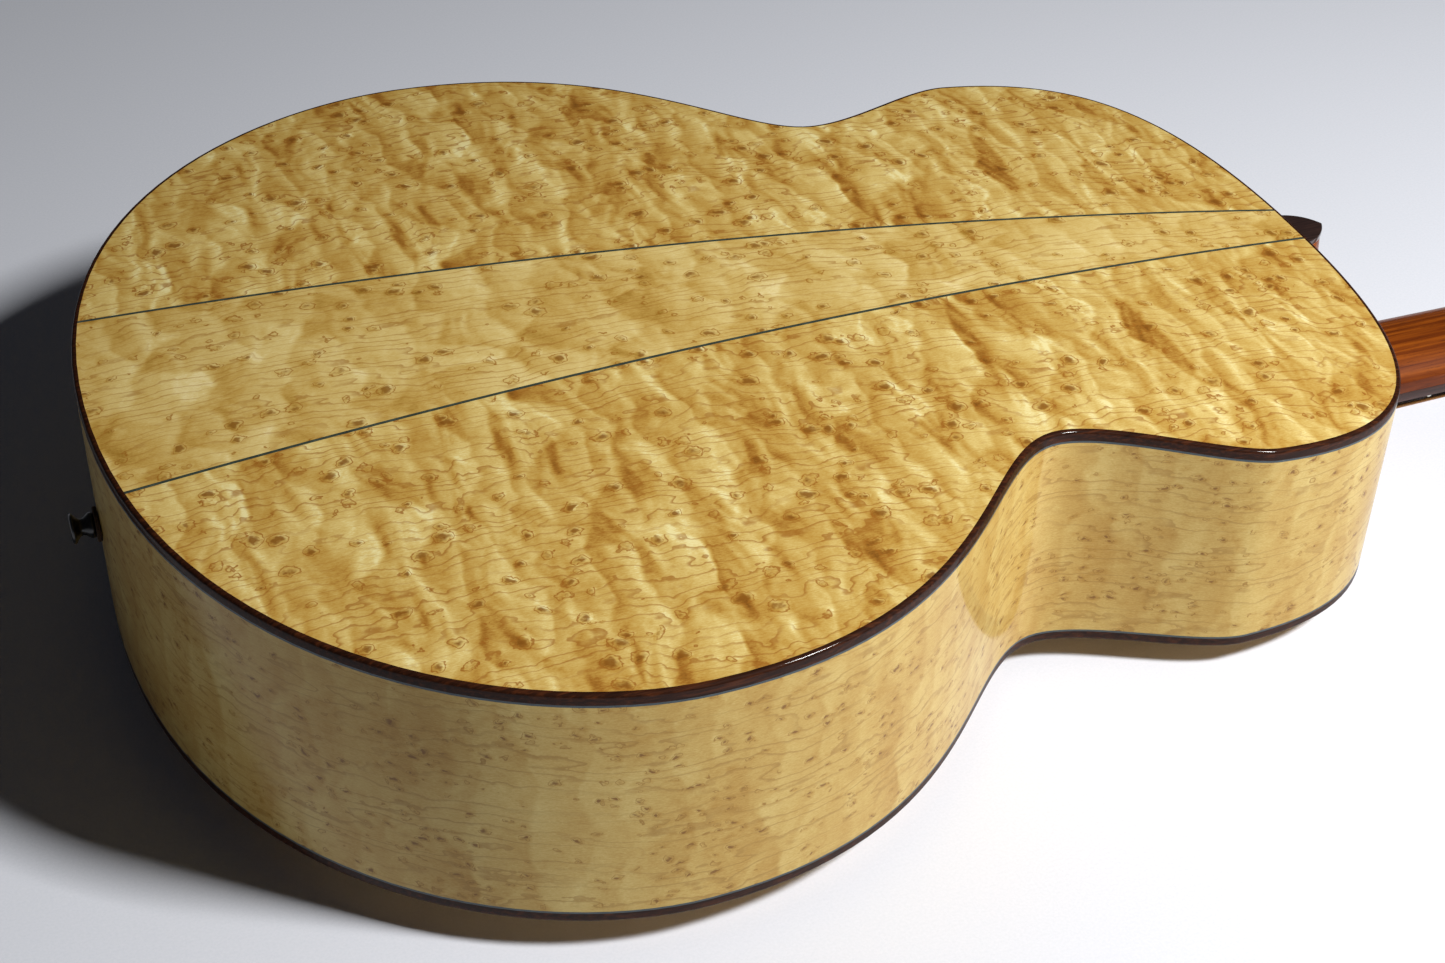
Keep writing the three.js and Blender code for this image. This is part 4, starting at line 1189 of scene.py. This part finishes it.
BUSH_STEPS = [(0.0052, 0.0), (0.0052, -0.0006), (0.0045, -0.0018), (0.0045, -0.0028), (0.0034, -0.0031)]
bush = turned_piece("bush_pattern", [(r, h - HEADPLATE) for r, h in BUSH_STEPS], 32)
POST_STEPS = [
    (0.0030, 0.0), (0.0030, -0.0058), (0.0026, -0.0072), (0.0026, -0.0088),
    (0.0030, -0.0100), (0.0030, -0.0110), (0.0024, -0.0115),
]
post = turned_piece("post_pattern", [(r, h - HEADPLATE) for r, h in POST_STEPS], 28)
SHAFT_STEPS = [
    (0.0016, -0.005), (0.0021, -0.004), (0.0021, 0.004), (0.0016, 0.005), (0.0016, 0.0075),
    (0.0030, 0.0078), (0.0030, 0.0105), (0.0022, 0.0112), (0.0020, 0.0165), (0.0031, 0.0172),
    (0.0034, 0.0180), (0.0018, 0.0184),
]
worm_shaft = turned_piece("shaft_pattern", SHAFT_STEPS, 24)
worm_shaft.data.transform(Matrix.Rotation(-math.pi / 2, 4, "X"))
only_nothing()
bpy.ops.mesh.primitive_uv_sphere_add(segments=40, ring_count=24, radius=1, location=(0, 0, 0))
knob = bpy.context.object
knob.name = "knob_pattern"
# The knob is thinner to its edges and a little waisted where the shaft enters.
KNOB_HALF_SIZE = (0.0040, 0.0088, 0.0075)
KNOB_FROM_WORM = 0.025
for vertex in knob.data.vertices:
    x, y, z = vertex.co
    waist_in = 1 - 0.22 * math.exp(-((z / 0.35) ** 2)) * max(0, y)
    edge_thin = 0.72 + 0.28 * math.sqrt(max(0, 1 - y * y))
    vertex.co = Vector((x * edge_thin, y * waist_in, z)) * Vector(KNOB_HALF_SIZE)
knob.data.transform(Matrix.Translation((0, KNOB_FROM_WORM, 0)))
only(knob)
worm_shaft.select_set(True)
bpy.ops.object.join()
only(knob)

for number in range(1, 7):
    side = 1 if number < 4 else -1
    x, y = POST_PLACES[number - 1 if number < 4 else 6 - number]
    half_turn = Matrix.Rotation(0 if side > 0 else math.pi, 4, "Z")
    machine = on_head @ Matrix.Translation((x, side * y, 0)) @ half_turn
    cover = copied(housing, f"TunerHousing{number}", machine)
    laid(cover, "body_and_neck", "tuner_chrome", f"tuner_housing_{number}", angle=35)
    collar = copied(bush, f"TunerCollar{number}", machine)
    laid(collar, "body_and_neck", "tuner_chrome", angle=35)
    stem = copied(post, f"TunerPost{number}", machine)
    laid(stem, f"tuner_post_{number}", "tuner_chrome", f"tuner_post_{number}", angle=35)
    grip = copied(knob, f"TunerButton{number}", machine @ Matrix.Translation((WORM_OFFSET, 0, WORM_HEIGHT)))
    laid(grip, f"tuner_button_{number}", "tuner_chrome", f"tuner_button_{number}", angle=40)
    dressed(chrome, cover, collar, stem, grip)
for pattern in (housing, bush, post, knob):
    bpy.data.objects.remove(pattern)

# ---------------------------------------------------------------------------------------------
# Strap button
# A turned button of black plastic, screwed into the tail block over a thin washer of brown felt.
# ---------------------------------------------------------------------------------------------

BUTTON_FOOT = -0.0018
BUTTON_HEIGHT = 0.054
BUTTON_STEPS = [
    (0.0044, 0.0), (0.0049, 0.0005), (0.0050, 0.0016), (0.0043, 0.0026), (0.0034, 0.0037),
    (0.0031, 0.0047), (0.0034, 0.0057), (0.0045, 0.0067), (0.0056, 0.0074), (0.0060, 0.0080),
    (0.0056, 0.0087), (0.0046, 0.0090), (0.0018, 0.0090),
]
WASHER_STEPS = [(0.0066, 0.0), (0.0068, 0.0003), (0.0068, 0.0013), (0.0064, 0.0016)]
out_of_tail = Matrix.Translation((BUTTON_FOOT, 0, BUTTON_HEIGHT)) @ Matrix.Rotation(-math.pi / 2, 4, "Y")
strap_button = turned_piece("StrapButton", BUTTON_STEPS, 56)
strap_button.data.transform(out_of_tail)
laid(strap_button, "body_and_neck", "black_button", "strap_button", angle=50)
black = grained(
    "BlackPlastic", (1 / 700,) * 3, 0.6,
    (0.3, "#070708"), (0.75, "#17181a"), Roughness=0.28, Coat_Weight=0.4, Coat_Roughness=0.15,
)
dressed(black, strap_button)
washer = turned_piece("StrapButtonWasher", WASHER_STEPS, 56)
washer.data.transform(Matrix.Translation((0.0016, 0, 0)) @ out_of_tail)
laid(washer, "body_and_neck", "felt_washer", "strap_button_washer", angle=50)
felt = grained(
    "BrownFelt", (1 / 2200,) * 3, 0.7,
    (0.3, "#241508"), (0.7, "#4a3015"), bump=(0.5, 0.0003), Roughness=0.9,
)
dressed(felt, washer)

# ---------------------------------------------------------------------------------------------
# Camera, lights, floor
# A flat pale floor, and one soft lamp in front of the upper bout, so that the tail lies in its own
# shadow.
# ---------------------------------------------------------------------------------------------

SENSOR = 36.0
LENS = 58.02727
CAMERA_PLACE = Vector((-0.0303, -0.7172, 0.5979))
FLOOR_SIZE = 6
YAW, PITCH, ROLL = (math.radians(a) for a in (21.29, 37.27, 1.43))
level_forward = Vector((math.sin(YAW), math.cos(YAW), 0))
forward = level_forward * math.cos(PITCH) - Vector((0, 0, math.sin(PITCH)))
level_right = Vector((math.cos(YAW), -math.sin(YAW), 0))
level_up = level_right.cross(forward)
camera_right = level_right * math.cos(ROLL) + level_up * math.sin(ROLL)
camera_up = level_up * math.cos(ROLL) - level_right * math.sin(ROLL)
stand = Matrix((camera_right, camera_up, -forward)).transposed().to_4x4()
stand.translation = CAMERA_PLACE
only_nothing()
bpy.ops.object.camera_add()
camera = bpy.context.object
camera.matrix_world = lying @ stand
camera.data.sensor_width = SENSOR
camera.data.lens = LENS
camera.data.clip_start = 0.01
bpy.context.scene.camera = camera

only_nothing()
bpy.ops.mesh.primitive_plane_add(size=FLOOR_SIZE, location=(0, 0, 0))
floor = bpy.context.object
floor.name = "Floor"
bpy.ops.object.mode_set(mode="EDIT")
bpy.ops.mesh.subdivide(number_cuts=9)
bpy.ops.object.mode_set(mode="OBJECT")
paper = grained(
    "PalePaper", (1 / 900,) * 3, 0.6, (0.3, "#dcdfe8"), (0.7, "#e3e5ee"), Roughness=0.55
)
dressed(paper, floor)


def lamp(name, place, target, size, watts, tint):
    only_nothing()
    bpy.ops.object.light_add(type="AREA", location=place)
    light = bpy.context.object
    light.name = name
    light.data.size = size
    light.data.energy = watts
    light.data.color = paint(tint)[:3]
    light.rotation_euler = (Vector(target) - Vector(place)).to_track_quat("-Z", "Y").to_euler()


lamp("Key", (0.444, -0.738, 1.161), (-0.2, 0, 0), 0.22, 30.5, "#fffffd")
world = bpy.data.worlds.new("Studio")
bpy.context.scene.world = world
world.use_nodes = True
world.node_tree.nodes["Background"].inputs["Color"].default_value = paint("#c9cede")
world.node_tree.nodes["Background"].inputs["Strength"].default_value = 0.03
bpy.context.scene.view_settings.view_transform = "Standard"
